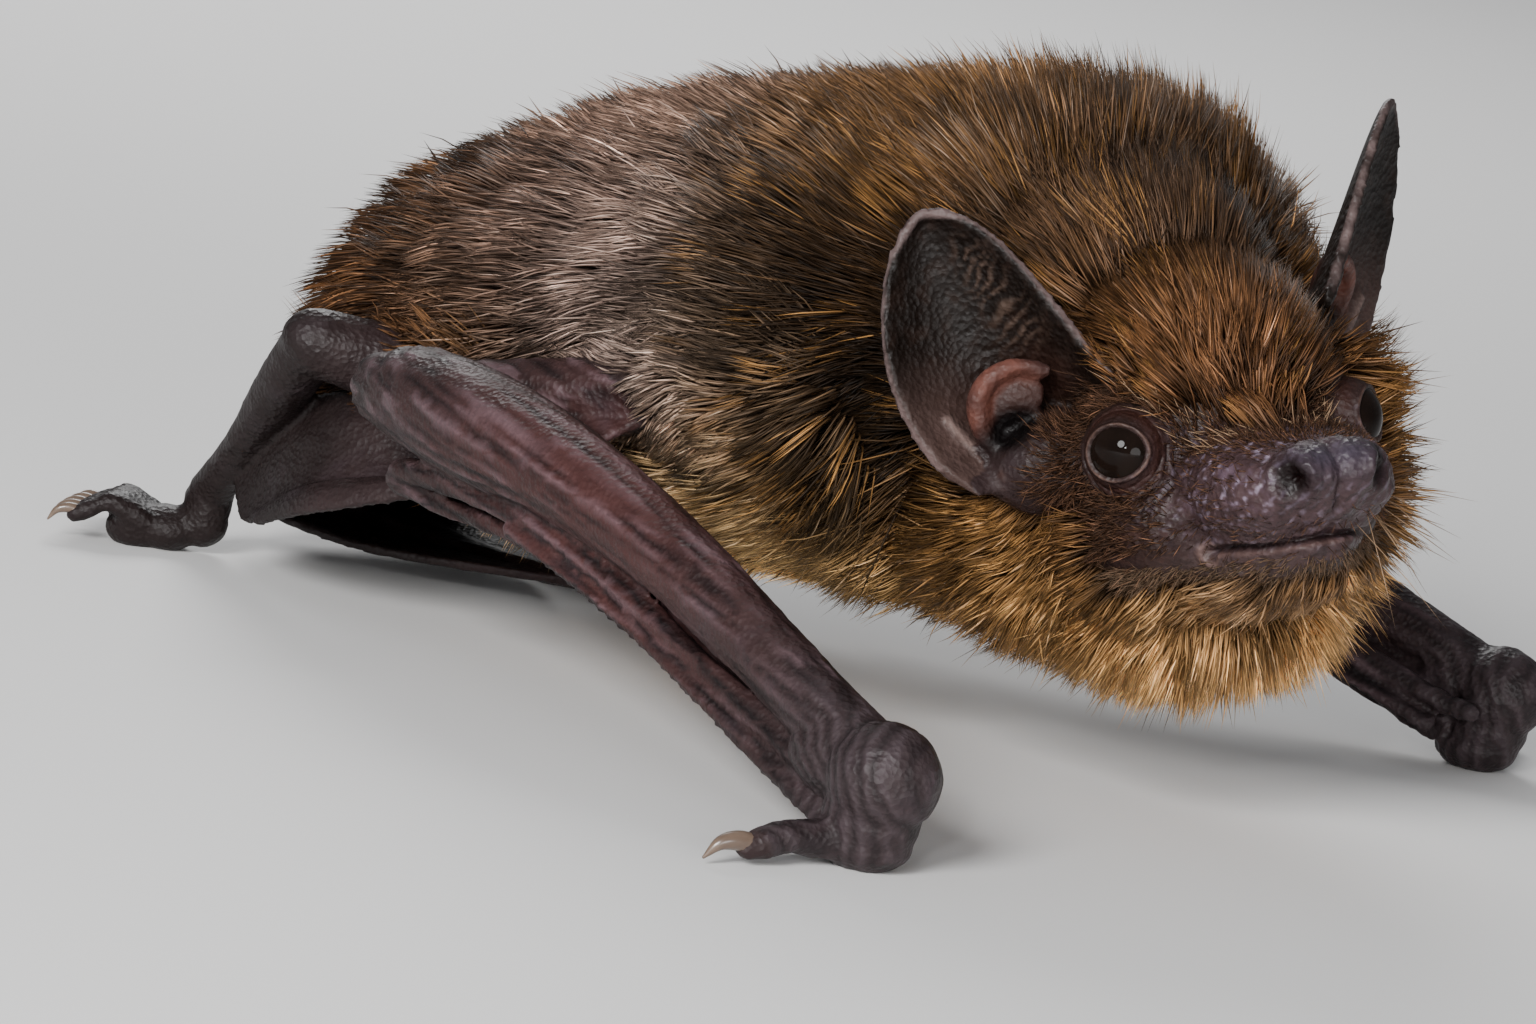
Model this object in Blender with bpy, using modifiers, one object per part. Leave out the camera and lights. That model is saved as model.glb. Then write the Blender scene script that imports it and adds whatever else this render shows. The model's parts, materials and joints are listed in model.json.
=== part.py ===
"""A vesper bat at life size, crouching on its wrists and feet with the wings folded.

+X is forward, +Y is the bat's left and +Z is up. The floor is z = 0, and the origin lies on it,
under the middle of the whole animal. Every size is in millimetres and is turned into metres by MM.
The furred solids reach out to the tips of the coat; the face, ears, wings and legs are bare skin.
"""

import math

import bmesh
import bpy
from mathutils import Euler, Matrix, Vector

MM = 0.001
GAP = 0.25  # clear space between neighbouring solids
SHEET = 0.55  # thickness of the ears and wing membranes

# How finely the melted forms are faceted
BODY_TRIANGLES = 1800
WRIST_TRIANGLES = 160
FOOT_TRIANGLES = 240

# Driving sizes of the animal
FOREARM_BOW = 2.2
DIGIT_RADIUS = 0.46
EYE_RADIUS = 1.5
EAR_HEIGHT = 10.4
EAR_HALF_WIDTH = 3.5

# Where the skeleton stands, on the bat's right (R) and left (L)
SIGN = {"R": -1, "L": 1}
SHOULDER = {"R": (9.5, -8.2, 14.2), "L": (9.5, 8.2, 14.2)}
ELBOW = {"R": (-10.7, -14.2, 10.6), "L": (-12.4, 15.6, 12.2)}
WRIST = {"R": (23.5, -22.0, 3.4), "L": (21.2, 22.8, 3.4)}
HIP = {"R": (-11.0, -4.5, 9.5), "L": (-11.0, 4.5, 9.5)}
KNEE = {"R": (-17.6, -12.2, 11.4), "L": (-17.6, 12.2, 11.4)}
ANKLE = {"R": (-26.8, -8.2, 2.9), "L": (-26.8, 8.2, 2.9)}

# The head turns towards the bat's right, lifts its nose and leans over
HEAD_AT = (18.0, -0.9, 12.4)
HEAD_YAW, HEAD_PITCH, HEAD_ROLL = (math.radians(a) for a in (-30, -11, 13))
HEAD = Matrix.Translation(HEAD_AT) @ (
    Matrix.Rotation(HEAD_YAW, 4, "Z")
    @ Matrix.Rotation(HEAD_PITCH, 4, "Y")
    @ Matrix.Rotation(HEAD_ROLL, 4, "X")
)

# Each ear in the head's frame, given for the left: its front root, its rise to the tip, and
# the way that it opens. The left ear is swung further round and leans further out.
EAR_ROOT = {"R": (7.8, 4.5, 4.4), "L": (8.2, 4.85, 6.3)}
EAR_RISE = {"R": (-0.26, 0.286, 0.923), "L": (-0.1, 0.42, 0.9)}
EAR_OPENING = {"R": (0.86, 0.5, 0.09), "L": (0.55, 0.8, 0.0)}
EYE = (8.5, 4.55, 1.95)  # centre of the left eyeball, in the head's own frame

# The model's middle, so that the origin falls under it
MIDDLE = Vector((-0.35, 0.4, 0.0))

FUR = ("fur", (0.23, 0.13, 0.07), 0.85)
SKIN = ("skin", (0.075, 0.05, 0.055), 0.5)
INNER_EAR = ("inner_ear", (0.36, 0.17, 0.15), 0.5)
HORN = ("horn", (0.16, 0.12, 0.1), 0.35)
EYEBALL = ("eyeball", (0.01, 0.008, 0.008), 0.05)


# ---------------------------------------------------------------- helpers


def collection(name):
    made = bpy.data.collections.new(name)
    bpy.context.scene.collection.children.link(made)
    return made


def metres(point):
    """A place in the bat's millimetres as metres from the origin."""
    return (Vector(point) - MIDDLE) * MM


def head_point(x, y, z):
    """A place in the head's own frame (forward, left, up) as a place in the bat's."""
    return HEAD @ Vector((x, y, z))


def mirrored(point, side):
    """A place given for the left side, on this side."""
    x, y, z = point
    return Vector((x, y * SIGN[side], z))


def material(name, colour, roughness):
    made = bpy.data.materials.get(name)
    if made is None:
        made = bpy.data.materials.new(name)
        made.use_nodes = True
        shader = made.node_tree.nodes["Principled BSDF"]
        shader.inputs["Base Color"].default_value = (*colour, 1)
        shader.inputs["Roughness"].default_value = roughness
    return made


def object_of(name, mesh, finish=None):
    """A part of the bat where it has a finish, and otherwise a form to cut or melt with."""
    made = bpy.data.objects.new(name, mesh)
    mesh.materials.clear()
    if finish:
        BAT.objects.link(made)
        mesh.materials.append(material(*finish))
    else:
        CUTTERS.objects.link(made)
        made.hide_render = True
        made.display_type = "WIRE"
    mesh.shade_smooth()
    return made


def remove(obj):
    bpy.data.objects.remove(obj)


def apply_modifiers(obj):
    """Swaps the object's mesh for the one that its modifiers make."""
    bpy.context.view_layer.update()
    graph = bpy.context.evaluated_depsgraph_get()
    mesh = bpy.data.meshes.new_from_object(obj.evaluated_get(graph))
    obj.modifiers.clear()
    obj.data = mesh
    return obj


def edit(obj, change):
    """Runs change(bm) on the object's mesh."""
    bm = bmesh.new()
    bm.from_mesh(obj.data)
    change(bm)
    bm.to_mesh(obj.data)
    bm.free()
    return obj


def smooth_path(points, steps):
    """Points on a Catmull-Rom curve through 4D control points: x, y, z and radius."""
    ends = [2 * points[0] - points[1], *points, 2 * points[-1] - points[-2]]
    path = []
    for a, b, c, d in zip(ends, ends[1:], ends[2:], ends[3:]):
        for i in range(steps):
            t = i / steps
            path.append(
                0.5
                * (
                    2 * b
                    + (c - a) * t
                    + (2 * a - 5 * b + 4 * c - d) * t**2
                    + (3 * b - a - 3 * c + d) * t**3
                )
            )
    return [*path, points[-1]]


def rounded(path):
    """The path with a half-round end at each side, of the path's own radius there."""
    ends = []
    for end, inner in ((path[0], path[1]), (path[-1], path[-2])):
        out = (end.xyz - inner.xyz).normalized()
        radius = end.w
        ends.append(
            [
                Vector((*(end.xyz + out * radius * along), radius * across))
                for along, across in ((0.55, 0.84), (0.95, 0.32))
            ]
        )
    return [*reversed(ends[0]), *path, *ends[1]]


def tube(name, points, finish=None, steps=1, sides=8):
    """A round tapering tube with rounded ends. Each point is (x, y, z, radius)."""
    path = rounded(smooth_path([Vector(p) for p in points], steps))
    curve = bpy.data.curves.new(name, "CURVE")
    curve.dimensions = "3D"
    curve.bevel_depth = MM
    curve.bevel_resolution = (sides - 4) // 2
    curve.use_fill_caps = True
    spline = curve.splines.new("POLY")
    spline.points.add(len(path) - 1)
    for point, place in zip(spline.points, path):
        point.co = (*metres(place.xyz), 1)
        point.radius = place.w
    drawn = bpy.data.objects.new(name + "_curve", curve)
    CUTTERS.objects.link(drawn)
    bpy.context.view_layer.update()
    graph = bpy.context.evaluated_depsgraph_get()
    mesh = bpy.data.meshes.new_from_object(drawn.evaluated_get(graph))
    remove(drawn)
    made = object_of(name, mesh, finish)
    return edit(
        made, lambda bm: bmesh.ops.remove_doubles(bm, verts=bm.verts, dist=1e-6)
    )


def ball(centre, half, turn=(0, 0, 0), segments=24):
    """An ellipsoid; half is its half length, width and height, turn its angles in degrees."""
    bm = bmesh.new()
    place = Matrix.Translation(metres(centre)) @ (
        Euler([math.radians(a) for a in turn]).to_matrix().to_4x4()
        @ Matrix.Diagonal((*(h * MM for h in half), 1))
    )
    bmesh.ops.create_uvsphere(
        bm, u_segments=segments, v_segments=segments // 2, radius=1, matrix=place
    )
    mesh = bpy.data.meshes.new("ball")
    bm.to_mesh(mesh)
    bm.free()
    return object_of("ball", mesh)


def head_ball(centre, half, tilt=0):
    """An ellipsoid placed in the head's frame, tilted nose-down by some degrees."""
    made = ball((0, 0, 0), half, (0, tilt, 0))
    made.data.transform(Matrix.Translation(MIDDLE * MM))
    turn = HEAD.to_3x3().to_4x4()
    made.data.transform(Matrix.Translation(metres(head_point(*centre))) @ turn)
    return made


def fused(name, pieces, finish, voxel, smoothing, triangles):
    """The pieces melted into one smooth closed form of about that many triangles."""
    bm = bmesh.new()
    for piece in pieces:
        bm.from_mesh(piece.data)
        remove(piece)
    mesh = bpy.data.meshes.new(name)
    bm.to_mesh(mesh)
    bm.free()
    made = object_of(name, mesh, finish)
    remesh = made.modifiers.new("Remesh", "REMESH")
    remesh.mode = "VOXEL"
    remesh.voxel_size = voxel * MM
    smooth = made.modifiers.new("Smooth", "SMOOTH")
    smooth.factor = 0.5
    smooth.iterations = smoothing
    apply_modifiers(made)
    faces = sum(len(p.vertices) - 2 for p in made.data.polygons)
    decimate = made.modifiers.new("Decimate", "DECIMATE")
    decimate.ratio = min(1.0, triangles / faces)
    return apply_modifiers(made)


def largest_body(obj):
    """Keeps the object's largest body and drops the crumbs of a cut."""

    def keep(bm):
        left, bodies = set(bm.faces), []
        while left:
            found, edge = set(), [left.pop()]
            while edge:
                face = edge.pop()
                found.add(face)
                joined = (e for e in face.edges if len(e.link_faces) == 2)
                near = {f for e in joined for f in e.link_faces} & left
                left -= near
                edge.extend(near)
            bodies.append(found)
        bodies.sort(key=len)
        crumbs = [f for body in bodies[:-1] for f in body]
        bmesh.ops.delete(bm, geom=crumbs, context="FACES")
        wires = [e for e in bm.edges if not e.link_faces]
        bmesh.ops.delete(bm, geom=wires, context="EDGES")

    return edit(obj, keep)


def sliced(obj, point, normal, name=None):
    """What lies where normal points, closed with a flat face; a name makes it a furred copy."""
    made = object_of(name, obj.data.copy(), FUR) if name else obj

    def cut(bm):
        geometry = [*bm.verts, *bm.edges, *bm.faces]
        found = bmesh.ops.bisect_plane(
            bm,
            geom=geometry,
            dist=1e-6,
            plane_co=metres(point),
            plane_no=Vector(normal),
            clear_inner=True,
        )
        rim = [e for e in found["geom_cut"] if isinstance(e, bmesh.types.BMEdge)]
        bmesh.ops.triangle_fill(bm, use_beauty=True, edges=rim)
        facing_out(bm)

    return edit(made, cut)


def facing_out(bm):
    bmesh.ops.recalc_face_normals(bm, faces=bm.faces)


def boolean(obj, other, operation):
    """An exact cut, allowing for surfaces that cross themselves where the plain one fails."""
    whole = obj.data
    for crossing in (False, True):
        cut = obj.modifiers.new(operation, "BOOLEAN")
        cut.operation = operation
        cut.object = other
        cut.use_self = crossing
        edit(apply_modifiers(obj), facing_out)
        if 0 < solid_volume(obj.data) <= 1.02 * solid_volume(whole):
            return obj
        obj.data = whole
    return obj


def solid_volume(mesh):
    """The volume inside the mesh, or nothing where it is open."""
    bm = bmesh.new()
    bm.from_mesh(mesh)
    closed = len(bm.faces) > 3 and all(e.is_manifold for e in bm.edges)
    volume = bm.calc_volume(signed=True) if closed else 0.0
    bm.free()
    return volume


def swollen(obj, by):
    """A copy of obj with its surface moved out, for cutting a clear seat."""
    made = object_of(obj.name + "_cutter", obj.data.copy())
    move = made.modifiers.new("Displace", "DISPLACE")
    move.mid_level = 0
    move.strength = by * MM
    apply_modifiers(made)
    return made


def seated(obj, *neighbours, gap=GAP):
    """Cuts obj back so that it stops just short of each neighbour."""
    for other in neighbours:
        cutter = swollen(other, gap)
        boolean(obj, cutter, "DIFFERENCE")
        remove(cutter)
    edit(obj, clean)
    return largest_body(obj)


def clean(bm):
    """Welds and drops the slivers that a cut leaves behind."""
    bmesh.ops.remove_doubles(bm, verts=bm.verts, dist=0.02 * MM)
    bmesh.ops.dissolve_degenerate(bm, edges=bm.edges, dist=0.01 * MM)
    bmesh.ops.triangulate(bm, faces=bm.faces)


def membrane(name, place, across, along, finish=SKIN, thickness=SHEET):
    """A thin sheet through place(u, v), with u and v from 0 to 1."""
    bm = bmesh.new()
    rows = [
        [bm.verts.new(metres(place(i / across, j / along))) for i in range(across + 1)]
        for j in range(along + 1)
    ]
    for low, high in zip(rows, rows[1:]):
        for i in range(across):
            bm.faces.new((low[i], low[i + 1], high[i + 1], high[i]))
    mesh = bpy.data.meshes.new(name)
    bm.to_mesh(mesh)
    bm.free()
    made = object_of(name, mesh, finish)
    solid = made.modifiers.new("Solidify", "SOLIDIFY")
    solid.thickness = thickness * MM
    solid.offset = 0
    return edit(apply_modifiers(made), facing_out)


def block(name, near, far):
    """A closed solid between two equal grids of places."""
    bm = bmesh.new()
    near = [[bm.verts.new(metres(place)) for place in row] for row in near]
    far = [[bm.verts.new(metres(place)) for place in row] for row in far]
    long, wide = len(near) - 1, len(near[0]) - 1
    for rows in (near, far):
        for low, high in zip(rows, rows[1:]):
            for i in range(wide):
                bm.faces.new((low[i], low[i + 1], high[i + 1], high[i]))
    for j in (0, long):
        for i in range(wide):
            bm.faces.new((near[j][i], near[j][i + 1], far[j][i + 1], far[j][i]))
    for i in (0, wide):
        for j in range(long):
            bm.faces.new((near[j][i], near[j + 1][i], far[j + 1][i], far[j][i]))
    facing_out(bm)
    mesh = bpy.data.meshes.new(name)
    bm.to_mesh(mesh)
    bm.free()
    return object_of(name, mesh)


def mix(a, b, t):
    return a + (b - a) * t


def mix_points(a, b, t):
    return Vector(a).lerp(Vector(b), t)


# ---------------------------------------------------------------- trunk and head


# The trunk's coat along the body: x, middle y, half width, underside z and back z
TRUNK = (
    (-27.4, 0.0, 3.4, 6.8, 11.6),
    (-25.2, 0.0, 6.4, 4.4, 15.6),
    (-20.5, 0.0, 8.9, 3.4, 19.8),
    (-13.5, 0.0, 10.7, 3.4, 23.0),
    (-5.0, 0.0, 11.8, 3.9, 25.6),
    (3.0, 0.2, 13.2, 4.6, 27.1),
    (9.0, 0.6, 13.6, 4.8, 28.0),
    (14.5, 0.8, 12.6, 5.2, 28.0),
    (19.5, 0.4, 10.8, 6.2, 25.4),
    (23.5, 0.0, 7.0, 9.0, 20.0),
)


def trunk(around=28):
    """Neck, chest, back and rump, out to the tips of their fur, as one rounded loft."""
    stations = [Vector((s[0], s[2], s[3], s[4])) for s in TRUNK]
    middles = [Vector((s[1], 0, 0, 0)) for s in TRUNK]
    bm = bmesh.new()
    rings = []
    for station, middle in zip(smooth_path(stations, 3), smooth_path(middles, 3)):
        x, half, low, high = station
        centre, rise = (low + high) / 2, (high - low) / 2
        ring = []
        for i in range(around):
            angle = 2 * math.pi * i / around
            y, z = math.sin(angle), math.cos(angle)
            square = (abs(y) ** 2.15 + abs(z) ** 2.15) ** (-1 / 2.15)
            place = (x, middle.x + half * y * square, centre + rise * z * square)
            ring.append(bm.verts.new(metres(place)))
        rings.append(ring)
    for near, far in zip(rings, rings[1:]):
        for i in range(around):
            bm.faces.new((near[i - 1], near[i], far[i], far[i - 1]))
    for ring, out in ((rings[0], -1.6), (rings[-1], 2.5)):
        tip = sum((v.co for v in ring), Vector()) / around
        tip.x += out * MM
        tip = bm.verts.new(tip)
        for i in range(around):
            bm.faces.new((ring[i - 1], ring[i], tip))
    facing_out(bm)
    mesh = bpy.data.meshes.new("trunk")
    bm.to_mesh(mesh)
    bm.free()
    return object_of("trunk", mesh)


def head_masses():
    """The skull with its fur on the crown, and the bare muzzle."""
    yield head_ball((1.0, 0, 4.6), (7.6, 8.8, 9.2))  # crown
    yield head_ball((6.0, 0, 3.4), (5.8, 6.2, 6.2), 14)  # forehead
    yield head_ball((3.6, 0, -4.2), (6.2, 7.0, 4.3))  # throat
    yield head_ball((11.2, 0, 0.9), (5.6, 3.5, 2.9), 10)  # muzzle
    yield head_ball((15.3, 0, 0.5), (1.8, 2.2, 1.45))  # nose
    yield head_ball((10.3, 0, -3.0), (4.9, 3.9, 2.2), -5)  # jaw
    yield head_ball((13.4, 0, -2.4), (2.1, 2.3, 1.35))  # chin
    for side in SIGN.values():
        yield head_ball((-0.6, 6.6 * side, -0.4), (5.2, 5.8, 6.9))  # cheek ruff
        yield head_ball((6.6, 3.4 * side, -1.4), (4.8, 3.5, 4.0))  # cheek
        yield head_ball((12.2, 2.15 * side, 0.4), (4.1, 2.5, 2.25), 4)  # muzzle pad
        yield head_ball((15.9, 1.4 * side, 0.65), (1.3, 1.05, 1.05))  # nostril


def build_body():
    """The furred body as one form, then parted where its names change."""
    whole = fused(
        "whole", [trunk(), *head_masses()], FUR, 0.5, 7, BODY_TRIANGLES
    )
    nape = head_point(-2.5, 0, 0), HEAD.to_3x3() @ Vector((0.93, 0, 0.36)).normalized()
    shoulder = Vector((11.5, 0, 10)), Vector((0.94, -0.1, 0.3)).normalized()
    waist = Vector((-8, 0, 10)), Vector((1, 0, 0))

    def ahead(cut):
        return cut[0] + cut[1] * GAP / 2, cut[1]

    def behind(cut):
        return cut[0] - cut[1] * GAP / 2, -cut[1]

    made = {
        "head": sliced(whole, *ahead(nape), name="head"),
        "neck": sliced(sliced(whole, *behind(nape), name="neck"), *ahead(shoulder)),
        "thorax": sliced(
            sliced(sliced(whole, *behind(shoulder), name="thorax"), *ahead(waist)),
            *behind(nape),
        ),
        "abdomen": sliced(whole, *behind(waist), name="abdomen"),
    }
    remove(whole)
    for part in made.values():
        largest_body(part)
    made["lower_jaw"] = part_jaw(made["head"])
    return made


def jaw_room(grown):
    """A wedge around the lower jaw: under the mouth line and ahead of its corners."""
    middle = Vector((15.0, 0, -8.0))

    def wall(y):
        profile = ((11.0, -2.05), (24.0, -1.5), (4.0, -14.0), (24.0, -14.0))
        corners = [Vector((x, y, z)) for x, z in profile]
        corners = [head_point(*(c + (c - middle).normalized() * grown)) for c in corners]
        return corners[:2], corners[2:]

    return block("jaw_room", wall(-12.0), wall(12.0))


def part_jaw(head):
    jaw = object_of("lower_jaw", head.data.copy(), FUR)
    inner, outer = jaw_room(-GAP / 2), jaw_room(GAP / 2)
    boolean(jaw, inner, "INTERSECT")
    boolean(head, outer, "DIFFERENCE")
    remove(inner)
    remove(outer)
    largest_body(head)
    return largest_body(jaw)


def build_eye(side, head):
    centre = head_point(EYE[0], EYE[1] * SIGN[side], EYE[2])
    socket = ball(centre, [EYE_RADIUS + GAP] * 3, segments=16)
    boolean(head, socket, "DIFFERENCE")
    remove(socket)
    eyeball = ball(centre, [EYE_RADIUS] * 3, segments=14)
    object_of(f"eye_{side}", eyeball.data, EYEBALL)
    remove(eyeball)


def ear_place(side, across, up, back):
    """A place by the ear: across from its front edge, up to its tip, back into its cup."""
    rise = Vector(EAR_RISE[side]).normalized()
    outward = rise.cross(Vector(EAR_OPENING[side])).normalized()
    outward = outward if outward.y > 0 else -outward
    opening = rise.cross(outward)
    opening = opening if opening.x > 0 else -opening
    place = Vector(EAR_ROOT[side]) + outward * (across + 3.4) + rise * up - opening * back
    return head_point(place.x, place.y * SIGN[side], place.z)


def ear_surface(side, u, v):
    """A point on the cupped ear, u across it and v from under its base up to its tip."""
    tall = EAR_HEIGHT - 1.1
    up = mix(-0.2 - 1.2 * u, tall, v)
    height = min(1.0, max(0.0, up / tall))
    middle = 1.35 * math.sin(min(1.0, 2 * height) * math.pi / 2)
    half = EAR_HALF_WIDTH * 1.05 * (1.001 - height**3.2) ** 0.6
    if up < 0:
        half += 0.4 * up
    s = 2 * u - 1
    cup = (2.9 * (1 - height) ** 0.8 + 0.5) * (1 - s * s)
    return ear_place(side, middle + half * s, up, cup)


def ear_room(side):
    """The space in and before the cup of the ear, which the coat keeps clear of."""

    def wall(push, left, right):
        rows = []
        for j in range(8):
            row = []
            for i in range(9):
                place = ear_surface(side, mix(left, right, i / 8), j / 7)
                row.append(place + ear_place(side, 0, 0, push) - ear_place(side, 0, 0, 0))
            rows.append(row)
        return rows

    return block("ear_room", wall(0.5 * SHEET + GAP, -0.03, 1.03), wall(-6.0, 0.12, 1.2))


def build_ear(side, body):
    ear = membrane(f"ear_{side}", lambda u, v: ear_surface(side, u, v), 8, 7)
    for room in (swollen(ear, GAP), ear_room(side)):
        for part in ("head", "neck"):
            boolean(body[part], room, "DIFFERENCE")
            largest_body(body[part])
        remove(room)
    tragus = tube(
        f"tragus_{side}",
        [
            (*ear_place(side, across, up, back), radius)
            for across, up, back, radius in (
                (0.9, -0.8, 1.7, 0.55),
                (1.3, 0.7, 1.0, 0.6),
                (1.2, 1.9, 0.8, 0.58),
                (0.6, 2.7, 0.7, 0.46),
                (-0.2, 2.8, 0.7, 0.34),
            )
        ],
        INNER_EAR,
        sides=6,
    )
    seated(tragus, ear, body["head"])


# ---------------------------------------------------------------- wings


def along_forearm(side, t, out=0.0, down=0.0):
    """A place beside the bowed forearm, t of the way from elbow to wrist."""
    place = mix_points(ELBOW[side], WRIST[side], t)
    place.z += FOREARM_BOW * math.sin(math.pi * min(1, max(0, t)) ** 0.8)
    return place + Vector((-0.21 * out, SIGN[side] * out, -down))


def build_arm(side, body):
    sign = SIGN[side]
    elbow, wrist = Vector(ELBOW[side]), Vector(WRIST[side])
    forearm = tube(
        f"forearm_{side}",
        [
            (*along_forearm(side, t, out, down), radius)
            for t, out, down, radius in (
                (-0.01, 0, 0, 1.6),
                (0.07, 0.1, 0.1, 2.15),
                (0.2, 0.2, 0.3, 2.35),
                (0.38, 0.1, 0.1, 2.0),
                (0.6, 0, 0, 1.65),
                (0.8, 0, 0, 1.42),
                (0.92, 0, 0, 1.45),
            )
        ],
        SKIN,
    )
    shoulder = Vector(SHOULDER[side])
    upper_arm = tube(
        f"upper_arm_{side}",
        [
            (*mix_points(shoulder, elbow, t), radius)
            for t, radius in ((0.1, 2.0), (0.45, 1.7), (0.8, 1.35), (0.97, 1.4))
        ],
        SKIN,
    )
    palm = Vector((wrist.x - 0.6, wrist.y - 0.15 * sign, 0.95))
    hand = fused(
        f"wrist_{side}",
        [
            ball(wrist, (2.25, 2.1, 2.1)),
            ball(wrist + Vector((-2.2, -0.5 * sign, 0.2)), (2.4, 1.7, 1.6)),
            ball(mix_points(wrist, palm, 0.6), (1.9, 1.8, 1.8)),
            ball(palm, (1.9, 1.75, 1.3)),
        ],
        SKIN,
        0.3,
        5,
        WRIST_TRIANGLES,
    )
    sliced(hand, (0, 0, 0), (0, 0, 1))
    thumb_root = palm + Vector((-0.5, 1.2 * sign, 0))
    tip = palm + Vector((-1.5, 4.6 * sign, -0.25))
    thumb = tube(
        f"thumb_{side}",
        [
            (*thumb_root, 0.85),
            (*(mix_points(thumb_root, tip, 0.5) + Vector((0, 0, 0.25))), 0.66),
            (*tip, 0.5),
        ],
        SKIN,
    )
    claw = tube(
        f"thumb_claw_{side}",
        [
            (*(tip + Vector((-0.1, 0.3 * sign, 0.1))), 0.42),
            (*(tip + Vector((-0.35, 1.0 * sign, 0.15))), 0.33),
            (*(tip + Vector((-0.6, 1.55 * sign, -0.35))), 0.2),
        ],
        HORN,
        sides=6,
    )
    seated(upper_arm, body["thorax"], body["neck"], forearm)
    seated(hand, forearm)
    seated(thumb, hand)
    seated(claw, thumb)
    return forearm, upper_arm, hand, thumb


def build_digits(side, neighbours):
    """The long fingers: bones run back under the forearm, then fold forward again."""
    made = []
    for number, out, down, reach in (
        (3, 0.35, 2.4, 0.04),
        (4, -1.05, 2.35, 0.06),
        (5, -2.35, 1.8, 0.09),
    ):
        digit = tube(
            f"digit_{number}_{side}",
            [
                (*along_forearm(side, t, out + inward, down + drop), DIGIT_RADIUS * size)
                for t, inward, drop, size in (
                    (0.93, 0, -0.5, 1.0),
                    (0.75, 0, -0.15, 1.0),
                    (0.42, 0, 0.1, 1.0),
                    (reach + 0.08, 0, 0.65, 1.1),
                    (reach, -0.3, 1.15, 1.3),
                    (reach + 0.06, -0.65, 1.7, 1.0),
                    (0.33, -0.65, 1.3, 0.85),
                )
            ],
            SKIN,
            sides=6,
        )
        made.append(seated(digit, *neighbours))
    return made


def build_wing_skin(side, body, arm, digits, leg):
    """The folded membranes of the hand, the body's side and the arm's front edge."""
    sign = SIGN[side]
    forearm, upper_arm, hand, _ = arm
    thigh, shank, _ = leg

    def pleats(u, v):
        out, down = mix(0.95, -3.2, u), 3.5 - 0.7 * u**3 + 0.08 * math.cos(u * 6 * math.pi)
        return along_forearm(side, mix(0.36, 0.86, v), out, down - 0.25 * v)

    hand_skin = membrane(f"hand_membrane_{side}", pleats, 6, 3)
    seated(hand_skin, *digits)

    inner = [(-25.4, 8.4, 4.2), (-18.6, 11.2, 8.8), (-9, 9.6, 8.2), (-2, 10.4, 7.8), (5, 10.4, 7.4)]
    inner = [mirrored(place, side) for place in inner]
    outer = [mirrored((-20.5, 11.4, 2.8), side), mirrored((-14.6, 13.2, 4.8), side)]
    drops = ((0.1, 3.6), (0.3, 3.2), (0.5, 2.4))
    outer += [along_forearm(side, t, -4.0, down) for t, down in drops]

    def follow(points, v):
        at = v * (len(points) - 1)
        i = min(int(at), len(points) - 2)
        return mix_points(points[i], points[i + 1], at - i)

    def side_sheet(u, v):
        place = mix_points(follow(inner, v), follow(outer, v), u)
        fold = 0.5 * math.sin(u * 3 * math.pi) * (0.4 + 0.6 * math.sin(v * math.pi))
        return place + Vector((0, 0, fold - 0.8 * math.sin(u * math.pi)))

    side_skin = membrane(f"side_membrane_{side}", side_sheet, 5, 7)
    seated(
        side_skin,
        body["thorax"],
        body["abdomen"],
        body["neck"],
        forearm,
        upper_arm,
        shank,
        thigh,
        hand,
        hand_skin,
        *digits,
    )

    def arm_sheet(u, v):
        on_arm = mix_points(ELBOW[side], SHOULDER[side], mix(0.2, 0.62, v))
        on_forearm = along_forearm(side, mix(0.14, 0.36, v), -1.4, 0.2)
        sag = Vector((0, 0.3 * sign, -0.7)) * math.sin(u * math.pi)
        scoop = Vector((-1.6, 0, 0)) * v * math.sin(u * math.pi)
        return mix_points(on_arm, on_forearm, u) + sag + scoop

    arm_skin = membrane(f"arm_membrane_{side}", arm_sheet, 4, 6)
    seated(arm_skin, forearm, upper_arm, body["thorax"], side_skin, *digits)


# ---------------------------------------------------------------- legs and tail


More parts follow.
